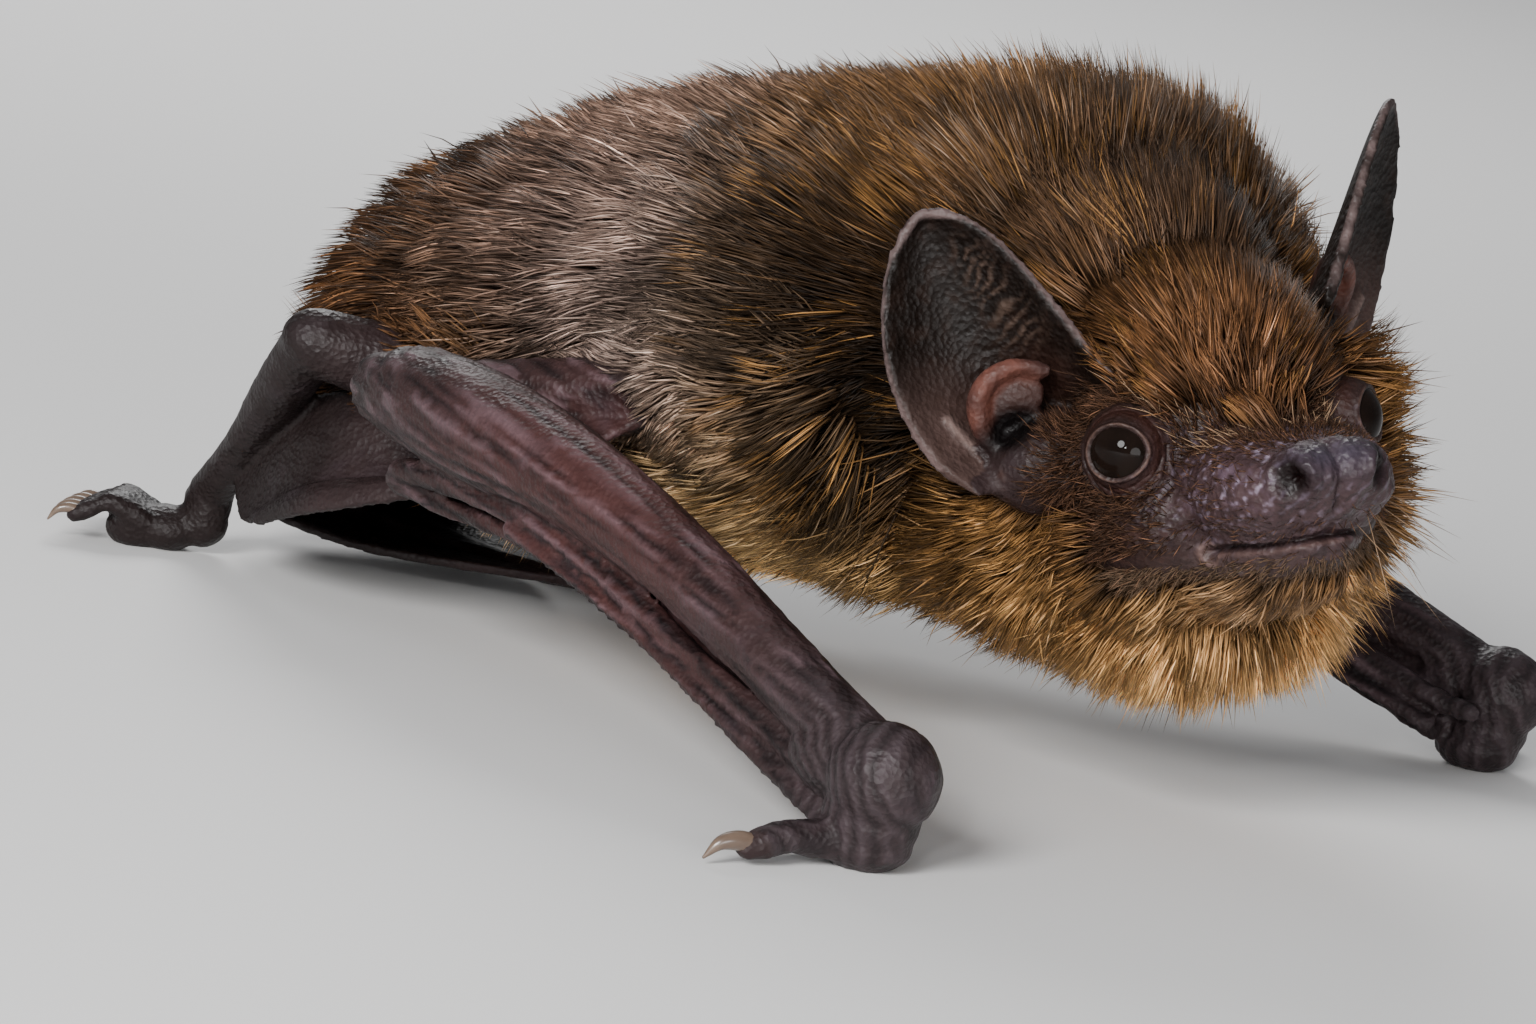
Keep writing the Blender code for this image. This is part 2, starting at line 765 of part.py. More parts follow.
def build_leg(side, body):
    sign = SIGN[side]
    hip, knee, ankle = (Vector(place[side]) for place in (HIP, KNEE, ANKLE))
    thigh = tube(
        f"thigh_{side}",
        [
            (*mix_points(hip, knee, 0.2), 2.3),
            (*mix_points(hip, knee, 0.6), 1.8),
            (*mix_points(hip, knee, 0.95), 1.45),
        ],
        SKIN,
    )
    shank = tube(
        f"shank_{side}",
        [
            (*knee, 1.35),
            (*mix_points(knee, ankle, 0.3), 1.25),
            (*mix_points(knee, ankle, 0.65), 0.95),
            (*ankle, 1.05),
        ],
        SKIN,
    )
    heel = ankle + Vector((-0.4, 0, -1.5))
    forward = Vector((-0.82, 0.56 * sign, 0))
    across = Vector((0.56, 0.82 * sign, 0))
    pieces = [
        ball(heel, (1.3, 1.2, 1.25)),
        ball(heel + forward * 1.6 + Vector((0, 0, -0.5)), (1.6, 1.5, 1.2)),
        ball(heel + forward * 2.8 + Vector((0, 0, -0.7)), (1.5, 1.6, 1.15)),
    ]
    for toe in range(5):
        spread = (toe - 2) / 2
        way = (forward + across * 0.3 * spread).normalized()
        root = heel + forward * 2.6 + across * 1.15 * spread
        pieces.append(
            tube(
                "toe",
                [
                    (*(root + way * reach + Vector((0, 0, rise))), radius)
                    for reach, rise, radius in (
                        (0, -0.1, 0.6),
                        (1.2, 0.55, 0.52),
                        (2.2, 0.1, 0.46),
                        (2.8, -0.25, 0.36),
                        (3.5, -0.2, 0.32),
                        (3.9, -0.7, 0.22),
                    )
                ],
                sides=6,
            )
        )
    foot = fused(f"foot_{side}", pieces, SKIN, 0.2, 2, FOOT_TRIANGLES)
    sliced(foot, (0, 0, 0), (0, 0, 1))
    largest_body(foot)
    seated(thigh, body["abdomen"])
    seated(shank, thigh, body["abdomen"])
    seated(foot, shank)
    return thigh, shank, foot


def build_tail(body, legs):
    path = ((-25.0, 0, 8.0), (-29.5, 0, 5.6), (-28.6, 0, 2.4), (-22, 0, 1.5), (-12, 0, 1.8))
    tail = tube(
        "tail",
        [(*point, radius) for point, radius in zip(path, (1.2, 1.0, 0.85, 0.7, 0.5))],
        SKIN,
        steps=2,
    )
    seated(tail, body["abdomen"])
    course = [p.xyz for p in smooth_path([Vector((*p, 1)) for p in path], 4)]
    for side, sign in SIGN.items():
        thigh, shank, foot = legs[side]
        edge = [(-22.0, 8.0, 8.4), (-25.5, 7.4, 4.8), (-26.0, 6.6, 2.6), (-20, 5.4, 1.7)]
        edge.append((-13.0, 0.9, 1.7))
        edge = [mirrored(p, side) for p in edge]

        def sheet(u, v):
            at = v * (len(course) - 1)
            i = min(int(at), len(course) - 2)
            on_tail = mix_points(course[i], course[i + 1], at - i)
            at = v * (len(edge) - 1)
            i = min(int(at), len(edge) - 2)
            on_leg = mix_points(edge[i], edge[i + 1], at - i)
            bulge = Vector((-1.2, 0, 0)) * math.sin(u * math.pi) * (1 - v)
            beside = Vector((0, (1.75 - 0.7 * v) * sign, 0))
            return mix_points(on_tail + beside, on_leg, u) + bulge

        skin = membrane(f"tail_membrane_{side}", sheet, 3, 6)
        seated(skin, body["abdomen"], tail, shank, thigh, foot)


# ---------------------------------------------------------------- run


for old in list(bpy.data.objects):
    bpy.data.objects.remove(old)
BAT = collection("bat")
CUTTERS = collection("cutters")
BODY = build_body()
LEGS = {}
for SIDE in SIGN:
    build_eye(SIDE, BODY["head"])
    build_ear(SIDE, BODY)
    ARM = build_arm(SIDE, BODY)
    DIGITS = build_digits(SIDE, ARM)
    LEGS[SIDE] = build_leg(SIDE, BODY)
    build_wing_skin(SIDE, BODY, ARM, DIGITS, LEGS[SIDE])
build_tail(BODY, LEGS)
for PART in BAT.objects:
    PART.data.set_sharp_from_angle(angle=math.radians(50))
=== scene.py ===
import json
import math

import bmesh
import bpy
import numpy as np
from mathutils import Matrix, Vector, kdtree
from mathutils.bvhtree import BVHTree

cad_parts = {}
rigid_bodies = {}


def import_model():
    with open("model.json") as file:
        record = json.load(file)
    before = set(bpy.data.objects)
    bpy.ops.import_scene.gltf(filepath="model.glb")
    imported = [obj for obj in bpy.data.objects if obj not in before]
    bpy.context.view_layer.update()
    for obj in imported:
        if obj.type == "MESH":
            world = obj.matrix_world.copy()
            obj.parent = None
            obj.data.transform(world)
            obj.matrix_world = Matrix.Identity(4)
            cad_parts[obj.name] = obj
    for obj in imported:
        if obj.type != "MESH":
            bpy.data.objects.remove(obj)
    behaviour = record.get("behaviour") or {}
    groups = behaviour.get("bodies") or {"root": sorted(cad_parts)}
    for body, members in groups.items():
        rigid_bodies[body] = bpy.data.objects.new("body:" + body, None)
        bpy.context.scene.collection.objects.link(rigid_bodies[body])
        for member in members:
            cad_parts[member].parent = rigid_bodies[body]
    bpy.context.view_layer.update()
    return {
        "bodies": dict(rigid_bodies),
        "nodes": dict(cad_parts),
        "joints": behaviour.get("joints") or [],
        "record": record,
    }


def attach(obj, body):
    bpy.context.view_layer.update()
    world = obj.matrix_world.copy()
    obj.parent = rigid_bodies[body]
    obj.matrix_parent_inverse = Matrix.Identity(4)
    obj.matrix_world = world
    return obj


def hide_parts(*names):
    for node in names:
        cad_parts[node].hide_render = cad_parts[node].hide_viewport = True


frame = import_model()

MM = 0.001
MIDDLE = np.array((-0.35, 0.4, 0.0))  # the point of the bat's own frame that is the origin here
RNG = np.random.default_rng(7)

# ---------------------------------------------------------------- places on the animal

SIGN = {"R": -1, "L": 1}
SHOULDER = {"R": (9.5, -8.2, 14.2), "L": (9.5, 8.2, 14.2)}
ELBOW = {"R": (-10.7, -14.2, 10.6), "L": (-12.4, 15.6, 12.2)}
WRIST = {"R": (23.5, -22.0, 3.4), "L": (21.2, 22.8, 3.4)}
HIP = {"R": (-11.0, -4.5, 9.5), "L": (-11.0, 4.5, 9.5)}
KNEE = {"R": (-17.6, -12.2, 11.4), "L": (-17.6, 12.2, 11.4)}
ANKLE = {"R": (-26.8, -8.2, 2.9), "L": (-26.8, 8.2, 2.9)}
EAR_ROOT = {"R": (7.8, 4.5, 4.4), "L": (8.2, 4.85, 6.3)}
EAR_RISE = {"R": (-0.26, 0.286, 0.923), "L": (-0.1, 0.42, 0.9)}
EAR_OPENING = {"R": (0.86, 0.5, 0.09), "L": (0.55, 0.8, 0.0)}
EAR_MIDDLE = (3.4, 0, 0)  # from the ear's root, in the ear's own frame
EYE = (8.5, 4.55, 1.95)
EYE_RADIUS = 1.5
GAZE = (0.70, 0.71, 0.06)  # where the left eye looks, in the head's frame
FOREARM_BOW = 2.2


def turn(axis, degrees):
    c, s = math.cos(math.radians(degrees)), math.sin(math.radians(degrees))
    rows = {
        "X": ((1, 0, 0), (0, c, -s), (0, s, c)),
        "Y": ((c, 0, s), (0, 1, 0), (-s, 0, c)),
        "Z": ((c, -s, 0), (s, c, 0), (0, 0, 1)),
    }
    return np.array(rows[axis])


HEAD_TURN = turn("Z", -30) @ turn("Y", -11) @ turn("X", 13)
HEAD_AT = np.array((18.0, -0.9, 12.4))


def head(places):
    """Places in the head's frame (forward, left, up) as places in the bat's."""
    return np.asarray(places, float) @ HEAD_TURN.T + HEAD_AT


def to_head(places):
    return (places - HEAD_AT) @ HEAD_TURN


def unit(v):
    v = np.asarray(v, float)
    return v / np.maximum(np.linalg.norm(v, axis=-1, keepdims=True), 1e-9)


def bell(x, middle, width):
    return np.exp(-(((x - middle) / width) ** 2))


def blob(p, centre, reach):
    """1 at the centre, fading to 0 beyond the reach, which may differ by axis."""
    return np.exp(-(((p - np.array(centre, float)) / reach) ** 2).sum(1))


def smoothstep(low, high, x):
    t = np.clip((x - low) / (high - low), 0, 1)
    return t * t * (3 - 2 * t)


def mix(a, b, t):
    return a + (b - a) * t


def catmull(points, steps):
    """A smooth course through the points, with so many steps from each to the next."""
    points = np.asarray(points, float)
    ends = np.vstack((2 * points[0] - points[1], points, 2 * points[-1] - points[-2]))
    t = np.arange(steps)[:, None] / steps
    path = []
    for a, b, c, d in zip(ends, ends[1:], ends[2:], ends[3:]):
        bend, twist = 2 * a - 5 * b + 4 * c - d, 3 * b - a - 3 * c + d
        path.append(0.5 * (2 * b + (c - a) * t + bend * t**2 + twist * t**3))
    return np.vstack((*path, points[-1:]))


def along(course, share):
    """The place at a share of a course's steps."""
    steps = len(course) - 1
    i = min(int(share * steps), steps - 1)
    return mix(course[i], course[i + 1], share * steps - i)


# ---------------------------------------------------------------- meshes


CAP_ANGLES = (0.5, 0.95, 1.3, 1.5)  # of the rings that round a tube's end
POLE = 0.08  # how far a ball's first ring lies from its pole, in radians
MEMBRANE = 0.42  # thickness of the wings' skin


def metres(verts):
    """Places in the bat's millimetres as places in the scene."""
    return (verts - MIDDLE) * MM


def placed(name, data):
    made = bpy.data.objects.new(name, data)
    bpy.context.scene.collection.objects.link(made)
    return made


def meshed(name, verts, faces):
    mesh = bpy.data.meshes.new(name)
    mesh.from_pydata(verts, [], faces)
    return placed(name, mesh)


class Clay:
    """Closed forms in the bat's millimetres, gathered into one mesh."""

    def __init__(self):
        self.verts, self.faces, self.count = [], [], 0

    def add(self, verts, faces):
        self.verts.append(np.asarray(verts, float))
        self.faces += [tuple(i + self.count for i in f) for f in faces]
        self.count += len(verts)

    def grid(self, rows):
        """A tube of closed rings, with its two ends drawn to points."""
        rows = np.asarray(rows)
        n, m = rows.shape[:2]
        ring = [(j, (j + 1) % m) for j in range(m)]
        starts = range(0, n * m - m, m)
        faces = [(i + j, i + k, i + m + k, i + m + j) for i in starts for j, k in ring]
        verts = np.vstack((rows.reshape(-1, 3), rows[0].mean(0)[None], rows[-1].mean(0)[None]))
        faces += [(k, j, n * m) for j, k in ring]
        faces += [(n * m - m + j, n * m - m + k, n * m + 1) for j, k in ring]
        self.add(verts, faces)

    def tube(self, points, steps=6, sides=18):
        """A round tapering tube with blunt ends; each point is (x, y, z, radius)."""
        path = catmull(points, steps)
        for end, inner, front in ((path[0], path[1], True), (path[-1], path[-2], False)):
            out = unit(end[:3] - inner[:3])
            cap = [
                (*(end[:3] + out * end[3] * math.sin(a)), end[3] * math.cos(a)) for a in CAP_ANGLES
            ]
            path = np.vstack((cap[::-1], path)) if front else np.vstack((path, cap))
        centre, radius = path[:, :3], path[:, 3]
        way = unit(np.gradient(centre, axis=0))
        side = unit(np.cross(way[0], (0.3, 0.2, 1.0)))
        angle = np.arange(sides) * 2 * math.pi / sides
        rows = []
        for p, d, r in zip(centre, way, radius):
            side = unit(side - d * (side @ d))
            up = np.cross(d, side)
            rows.append(p + r * (np.cos(angle)[:, None] * side + np.sin(angle)[:, None] * up))
        self.grid(rows)

    def ball(self, centre, half, frame=np.eye(3), rings=16):
        around = np.arange(2 * rings) * math.pi / rings
        rows = []
        for a in np.linspace(POLE, math.pi - POLE, rings):
            x, y = math.sin(a) * np.cos(around), math.sin(a) * np.sin(around)
            ring = np.stack((x, y, np.full(len(around), math.cos(a))), 1)
            rows.append(ring * np.asarray(half) @ frame.T + centre)
        self.grid(rows)

    def sheet(self, place, across, along, thickness=lambda u, v: MEMBRANE):
        """A thin closed sheet about place(u, v); thickness(u, v) is its own thickness there."""
        u = np.linspace(0, 1, across + 1)
        v = np.linspace(0, 1, along + 1)
        middle = np.array([[place(a, b) for a in u] for b in v])
        normal = unit(np.cross(np.gradient(middle, axis=1), np.gradient(middle, axis=0)))
        half = np.array([[thickness(a, b) / 2 for a in u] for b in v])[..., None]
        n, m = along + 1, across + 1
        both = [(middle + normal * half).reshape(-1, 3), (middle - normal * half).reshape(-1, 3)]
        faces = []
        for a in (i * m + j for i in range(n - 1) for j in range(m - 1)):
            faces.append((a, a + 1, a + m + 1, a + m))
            faces.append((a + n * m, a + m + n * m, a + m + 1 + n * m, a + 1 + n * m))
        rim = list(range(m)) + [i * m + m - 1 for i in range(1, n)]
        rim += [(n - 1) * m + j for j in range(m - 2, -1, -1)]
        rim += [i * m for i in range(n - 2, 0, -1)]
        faces += [(b, a, a + n * m, b + n * m) for a, b in zip(rim, rim[1:] + rim[:1])]
        self.add(np.vstack(both), faces)

    def object(self, name):
        return meshed(name, metres(np.vstack(self.verts)).tolist(), self.faces)


def remeshed(obj, voxel):
    modifier = obj.modifiers.new("Remesh", "REMESH")
    modifier.mode = "VOXEL"
    modifier.voxel_size = voxel * MM


def applied(obj):
    graph = bpy.context.evaluated_depsgraph_get()
    graph.update()
    mesh = bpy.data.meshes.new_from_object(obj.evaluated_get(graph))
    obj.modifiers.clear()
    obj.data = mesh


def read(items, key, width, kind=np.float32):
    flat = np.empty(len(items) * width, kind)
    items.foreach_get(key, flat)
    return flat.reshape(-1, width)


def places(obj):
    return read(obj.data.vertices, "co", 3).astype(float) / MM + MIDDLE


def move_to(obj, verts):
    obj.data.vertices.foreach_set("co", metres(verts).astype(np.float32).ravel())
    obj.data.update()


def normals(obj):
    return read(obj.data.vertices, "normal", 3).astype(float)


def triangles(obj):
    obj.data.calc_loop_triangles()
    return read(obj.data.loop_triangles, "vertices", 3, np.int32)


def edges(obj):
    return read(obj.data.edges, "vertices", 2, np.int32)


def blended(verts, pairs, weight, rounds):
    """Relaxes each place towards its neighbours' middle, as far as its weight says."""
    a, b = pairs.T
    n = len(verts)
    share = np.maximum(np.bincount(a, minlength=n) + np.bincount(b, minlength=n), 1)[:, None]
    for _ in range(rounds):
        sums = [np.bincount(a, v[b], n) + np.bincount(b, v[a], n) for v in verts.T]
        verts = verts + (np.stack(sums, 1) / share - verts) * (0.5 * weight)[:, None]
    return verts


def refined(obj, wanted):
    """Splits the faces whose corners are all wanted into four."""
    work = bmesh.new()
    work.from_mesh(obj.data)
    chosen = [e for e in work.edges if all(wanted[v.index] for v in e.verts)]
    bmesh.ops.subdivide_edges(work, edges=chosen, cuts=1, use_grid_fill=True)
    work.to_mesh(obj.data)
    work.free()
    obj.data.update()


MATTE = 0.08  # added to the roughness of the skin, but not on the muzzle


def paint(obj, colours):
    """Keeps one colour at each vertex."""
    layer = obj.data.attributes.new("tint", "FLOAT_COLOR", "POINT")
    rgba = np.ones((len(colours), 4), np.float32)
    rgba[:, :3] = colours
    layer.data.foreach_set("color", rgba.ravel())


def paint_matte(obj):
    """Keeps how much rougher than the muzzle the skin is at each vertex."""
    p = places(obj)
    muzzle = near_head(p) * smoothstep(9.5, 11.5, to_head(p)[:, 0])
    layer = obj.data.attributes.new("matte", "FLOAT", "POINT")
    layer.data.foreach_set("value", (MATTE * (1 - muzzle)).astype(np.float32))


def waves(p, scale, seed, octaves=3):
    """Smooth noise of about -1 to 1, made from crossing waves."""
    rng = np.random.default_rng(seed)
    total, weight = np.zeros(len(p)), 0.0
    for octave in range(octaves):
        strength = 0.6**octave
        for _ in range(5):
            way = unit(rng.normal(size=3)) * 2 * math.pi / scale * 1.9**octave
            bent = p @ way + rng.uniform(0, 6.3) + 0.8 * np.sin(p @ way[[1, 2, 0]])
            total += strength * np.sin(bent)
        weight += strength * 2.4
    return total / weight


# ---------------------------------------------------------------- the flesh


def ear_frame(side):
    rise = unit(EAR_RISE[side])
    outward = unit(np.cross(rise, unit(EAR_OPENING[side])))
    outward = outward if outward[1] > 0 else -outward
    opening = np.cross(rise, outward)
    opening = opening if opening[0] > 0 else -opening
    return np.array((outward, rise, -opening))  # across, up, back


def from_ear(places, side):
    """Places in the ear's own frame (across, up and back) as places in the bat's."""
    local = (np.asarray(places) + EAR_MIDDLE) @ ear_frame(side) + np.array(EAR_ROOT[side])
    local[..., 1] *= SIGN[side]
    return head(local)


def to_ear(places, side):
    local = to_head(places)
    local[:, 1] *= SIGN[side]
    return (local - np.array(EAR_ROOT[side])) @ ear_frame(side).T - EAR_MIDDLE


EAR_TALL = 9.3
EAR_HALF_WIDTH = 3.7
EAR_CUP = {"R": 1.0, "L": 0.45}  # the left ear is turned flatter
EAR_RIDGES = 0.52  # from one transverse ridge to the next
TRAGUS = (  # across, up, back and radius, round the ear's opening
    (1.6, 0.0, 1.7, 0.5),
    (1.75, 1.1, 1.1, 0.46),
    (1.35, 2.1, 0.8, 0.46),
    (0.5, 2.6, 0.75, 0.42),
    (-0.5, 2.55, 0.8, 0.34),
    (-1.4, 1.9, 1.1, 0.3),
)
LOBE_FOLD = ((2.75, 2.1), (2.5, 1.0), (2.1, 0.0), (1.6, -0.75))  # across and up


def ear_edges(height):
    middle = 0.6 * np.sin(height**0.8 * math.pi) - 0.1 - 0.1 * height
    half = EAR_HALF_WIDTH * (1.001 - height**2.5) ** 0.6
    return middle, half


def ear_cup(side, height, s):
    return EAR_CUP[side] * (2.9 * (1 - height) ** 0.8 + 0.5) * (1 - np.clip(s, -1, 1) ** 2)


def ear_parts(e, side):
    """Place across from -1 to 1, and distance behind the ear's middle sheet."""
    height = np.clip(e[:, 1] / EAR_TALL, 0, 1)
    middle, half = ear_edges(height)
    s = (e[:, 0] - middle) / np.maximum(half, 0.3)
    return s, e[:, 2] - ear_cup(side, height, s)


def ear_ridges(e, s):
    """Where the short ridges beside the front edge stand, as waves, and how strong they are."""
    drift = 0.34 * waves(e, 2.2, 19, 2)
    wave = np.sin((e[:, 1] + 0.9 * s + drift) * 2 * math.pi / EAR_RIDGES)
    band = bell(s, -0.5, 0.24) * smoothstep(2.4, 3.6, e[:, 1])
    return wave, band * smoothstep(8.4, 6.8, e[:, 1])


def ear_canal(e):
    """1 in the small dark opening under the tragus, fading to 0 around it."""
    return blob(e, (0.75, 0.5, 1.5), (1.15, 0.85, 1.8))


def lobe_fold(e):
    """Distance from the fold of the ear's lobe."""
    return distance_to(e * (1, 1, 0), catmull([(a, b, 0) for a, b in LOBE_FOLD], 5))


def distance_to(places, path):
    near = np.full(len(places), 99.0)
    for a, b in zip(path, path[1:]):
        t = np.clip((places - a) @ (b - a) / ((b - a) @ (b - a)), 0, 1)
        near = np.minimum(near, np.linalg.norm(places - a - t[:, None] * (b - a), axis=1))
    return near


def ear_surface(side, u, v):
    up = mix(-0.2 - 1.2 * u, EAR_TALL, v)
    height = min(1.0, max(0.0, up / EAR_TALL))
    middle, half = ear_edges(height)
    if up < 0:
        half += 0.4 * up
    s = 2 * u - 1
    return from_ear((middle + half * s, up, ear_cup(side, height, s)), side)


HEAD_MASSES = (
    ((1.0, 0, 4.2), (5.2, 5.9, 6.2), 0),  # crown
    ((5.6, 0, 2.6), (4.9, 5.0, 4.3), 14),  # forehead
    ((3.6, 0, -3.2), (4.6, 4.8, 2.8), 0),  # throat
    ((11.2, 0, 0.3), (5.4, 2.9, 2.2), 7),  # muzzle
    ((15.3, 0, 0.5), (1.8, 2.0, 1.4), 0),  # nose
    ((10.0, 0, -2.5), (4.8, 3.2, 1.5), 0),  # jaw
    ((13.3, 0, -2.3), (2.0, 1.9, 1.1), 0),  # chin
)
PAIRED_MASSES = (
    ((1.5, 4.6, 0.4), (4.0, 3.4, 4.4), 0),  # jowl
    ((6.6, 3.1, -1.0), (4.4, 2.9, 2.9), 0),  # cheek
    ((12.2, 1.7, 0.1), (3.9, 2.0, 2.0), 4),  # muzzle pad
    ((15.9, 1.35, 0.6), (1.25, 1.0, 0.95), 0),  # nostril
    ((7.9, 4.0, 1.9), (2.1, 2.0, 2.1), 0),  # orbit
)
TRUNK = (  # stations of the coat's outline: x, middle and half width in y, lowest and highest z
    (-27.4, 0.0, 3.4, 6.8, 11.6),
    (-25.2, 0.0, 6.4, 4.4, 15.6),
    (-20.5, 0.0, 8.9, 3.4, 19.8),
    (-13.5, 0.0, 10.7, 3.4, 23.0),
    (-5.0, 0.0, 11.8, 3.9, 25.6),
    (3.0, 0.2, 13.2, 4.6, 27.1),
    (9.0, 0.6, 13.6, 4.8, 28.0),
    (14.5, 0.8, 12.6, 5.2, 28.0),
    (19.5, 0.4, 10.8, 6.2, 25.4),
)
COAT_DEPTH = 4.0


def along_forearm(side, t, out=0.0, down=0.0):
    place = mix(np.array(ELBOW[side]), np.array(WRIST[side]), t)
    place[2] += FOREARM_BOW * math.sin(math.pi * min(1, max(0, t)) ** 0.8)
    return place + np.array((-0.21 * out, SIGN[side] * out, -down))


FOREARM = (  # share of the way to the wrist, out, down and radius
    (-0.01, 0, 0, 1.6),
    (0.07, 0.1, 0.1, 2.1),
    (0.2, 0.2, 0.3, 2.3),
    (0.38, 0.1, 0.1, 1.95),
    (0.6, 0, 0, 1.6),
    (0.8, 0, 0, 1.38),
    (0.99, 0, 0, 1.45),
)
UPPER_ARM = ((0.1, 2.0), (0.45, 1.7), (0.8, 1.4), (1.0, 1.6))  # share of the way, and radius
THUMB = ((-0.15, 0, 0.9), (0.2, 0.1, 0.72), (0.55, 0.25, 0.6), (0.8, 0.1, 0.62), (1, 0, 0.5))
FINGERS = ((0.35, 2.4, 0.04), (-1.05, 2.35, 0.06), (-2.35, 1.8, 0.09))  # out, down and bend
FINGER_RADIUS = 0.46
FINGER_ROOT = (  # share of the way along the forearm, inward, down and share of the radius
    (0.99, 0, -1.0, 1.0),
    (0.93, 0, -0.5, 1.0),
    (0.75, 0, -0.15, 1.0),
    (0.42, 0, 0.1, 1.0),
)
FINGER_TIP = ((0.33, -0.65, 1.3, 0.85), (0.5, -0.65, 1.2, 0.6))


def flesh_of_trunk(clay):
    angle = np.arange(40) * 2 * math.pi / 40
    y, z = np.sin(angle), np.cos(angle)
    rows = []
    for x, middle, half, low, high in catmull(TRUNK, 4):
        keep = max(0.2, 1 - 0.25 * smoothstep(-24, -28, x))
        half = max(0.6, half - COAT_DEPTH) * keep
        centre, rise = (low + high) / 2, max(0.6, (high - low) / 2 - COAT_DEPTH)
        x = np.full(40, x + 1.6 * smoothstep(-20, -28, x))
        rows.append(np.stack((x, middle + half * y, centre + rise * z), 1))
    clay.grid(rows)


def flesh_of_head(clay):
    masses = list(HEAD_MASSES)
    for (x, y, z), half, tilt in PAIRED_MASSES:
        masses += [((x, y * sign, z), half, tilt) for sign in SIGN.values()]
    for centre, half, tilt in masses:
        clay.ball(head(centre), half, HEAD_TURN @ turn("Y", tilt))
    for side in SIGN:
        clay.ball(from_ear((0.3, -1.3, 2.6), side), (2.6, 2.6, 2.2), HEAD_TURN)  # ear's base
        clay.sheet(lambda u, v: ear_surface(side, u, v), 40, 40, lambda u, v: 0.5 - 0.12 * v)
        clay.tube([(*from_ear(place, side), r) for *place, r in TRAGUS], sides=12)
        frame_here = HEAD_TURN @ (np.array((1, SIGN[side], 1))[:, None] * ear_frame(side).T)
        clay.ball(from_ear((0.3, 1.55, 1.35), side), (1.35, 1.05, 0.42), frame_here)  # its hollow


def flesh_of_arm(clay, side):
    sign = SIGN[side]
    elbow, wrist, shoulder = (np.array(p[side]) for p in (ELBOW, WRIST, SHOULDER))
    clay.tube([(*along_forearm(side, *at), r) for *at, r in FOREARM], sides=24)
    clay.tube([(*mix(shoulder, elbow, t), r) for t, r in UPPER_ARM])
    palm = np.array((wrist[0] - 0.6, wrist[1] - 0.15 * sign, 0.95))
    clay.ball(wrist, (2.15, 2.0, 2.05))
    clay.ball(wrist + (-2.2, -0.5 * sign, 0.2), (2.4, 1.65, 1.55))
    clay.ball(mix(wrist, palm, 0.6), (1.85, 1.75, 1.8))
    clay.ball(palm, (1.85, 1.7, 1.15))
    root = palm + (-0.5, 1.2 * sign, 0)
    tip = palm + (-1.5, 4.6 * sign, -0.25)
    clay.tube([(*(mix(root, tip, t) + (0, 0, rise)), r) for t, rise, r in THUMB], sides=14)
    for out, down, bend in FINGERS:
        bones = (*FINGER_ROOT, (bend + 0.08, 0, 0.65, 1.1), (bend, -0.3, 1.15, 1.3))
        bones += ((bend + 0.06, -0.65, 1.7, 1.0), *FINGER_TIP)
        clay.tube(
            [
                (*along_forearm(side, t, out + inward, down + drop), FINGER_RADIUS * size)
                for t, inward, drop, size in bones
            ],
            sides=12,
        )


FLANK = ((-25.4, 8.4, 4.2), (-18.6, 9.6, 8.8), (-9, 7.6, 8.2), (-4, 8.0, 8.0), (1, 7.6, 7.6))
WING_TIES = ((0.1, 3.4), (0.22, 3.0), (0.34, 2.6))  # share of the way along the forearm, and down


def flesh_of_wing(clay, side):
    sign = SIGN[side]

    def pleats(u, v):
        out, down = mix(0.95, -3.2, u), 3.3 - 0.7 * u**3 + 0.28 * math.cos(u * 8 * math.pi)
        return along_forearm(side, mix(0.3, 0.95, v), out, down - 0.25 * v - 1.0 * max(0, v - 0.8))

    def webbing(u, v):
        """The skin that ties the folded fingers up to the forearm."""
        out, down = mix(0.1, -2.6, u), mix(0.9, 2.3, u) - 0.3 * v
        return along_forearm(side, mix(0.03, 0.93, v), out, down)

    inner = catmull([(x, y * sign, z) for x, y, z in FLANK], 12)
    outer = [(-20.5, 11.4 * sign, 2.8), (-14.6, 13.2 * sign, 4.8)]
    outer += [along_forearm(side, t, -3.6, down) for t, down in WING_TIES]
    outer = catmull(outer, 12)

    def side_sheet(u, v):
        fold = 0.5 * math.sin(u * 3 * math.pi) * (0.4 + 0.6 * math.sin(v * math.pi))
        fold += 0.16 * math.sin(u * 9 * math.pi + 3 * v) * math.sin(v * math.pi)
        scoop = -3.0 * v**4 * math.sin(u * math.pi)
        sag = np.array((scoop, 0, fold - 0.8 * math.sin(u * math.pi)))
        return mix(along(inner, v), along(outer, v), u) + sag

    def arm_sheet(u, v):
        on_arm = mix(np.array(ELBOW[side]), np.array(SHOULDER[side]), mix(0.05, 0.9, v))
        on_forearm = along_forearm(side, mix(0.02, 0.34, v), -0.8, 0.2)
        sag = np.array((0, 0.3 * sign, -0.7)) * math.sin(u * math.pi)
        scoop = np.array((-3.4, 0, 0)) * v * math.sin(u * math.pi)
        crease = np.array((0, 0, 0.12)) * math.sin(u * 6 * math.pi)
        return mix(on_arm, on_forearm, u) + sag + scoop + crease

    clay.sheet(pleats, 60, 40)
    clay.sheet(webbing, 20, 60)
    clay.sheet(side_sheet, 40, 60)
    clay.sheet(arm_sheet, 30, 30, lambda u, v: 0.45)


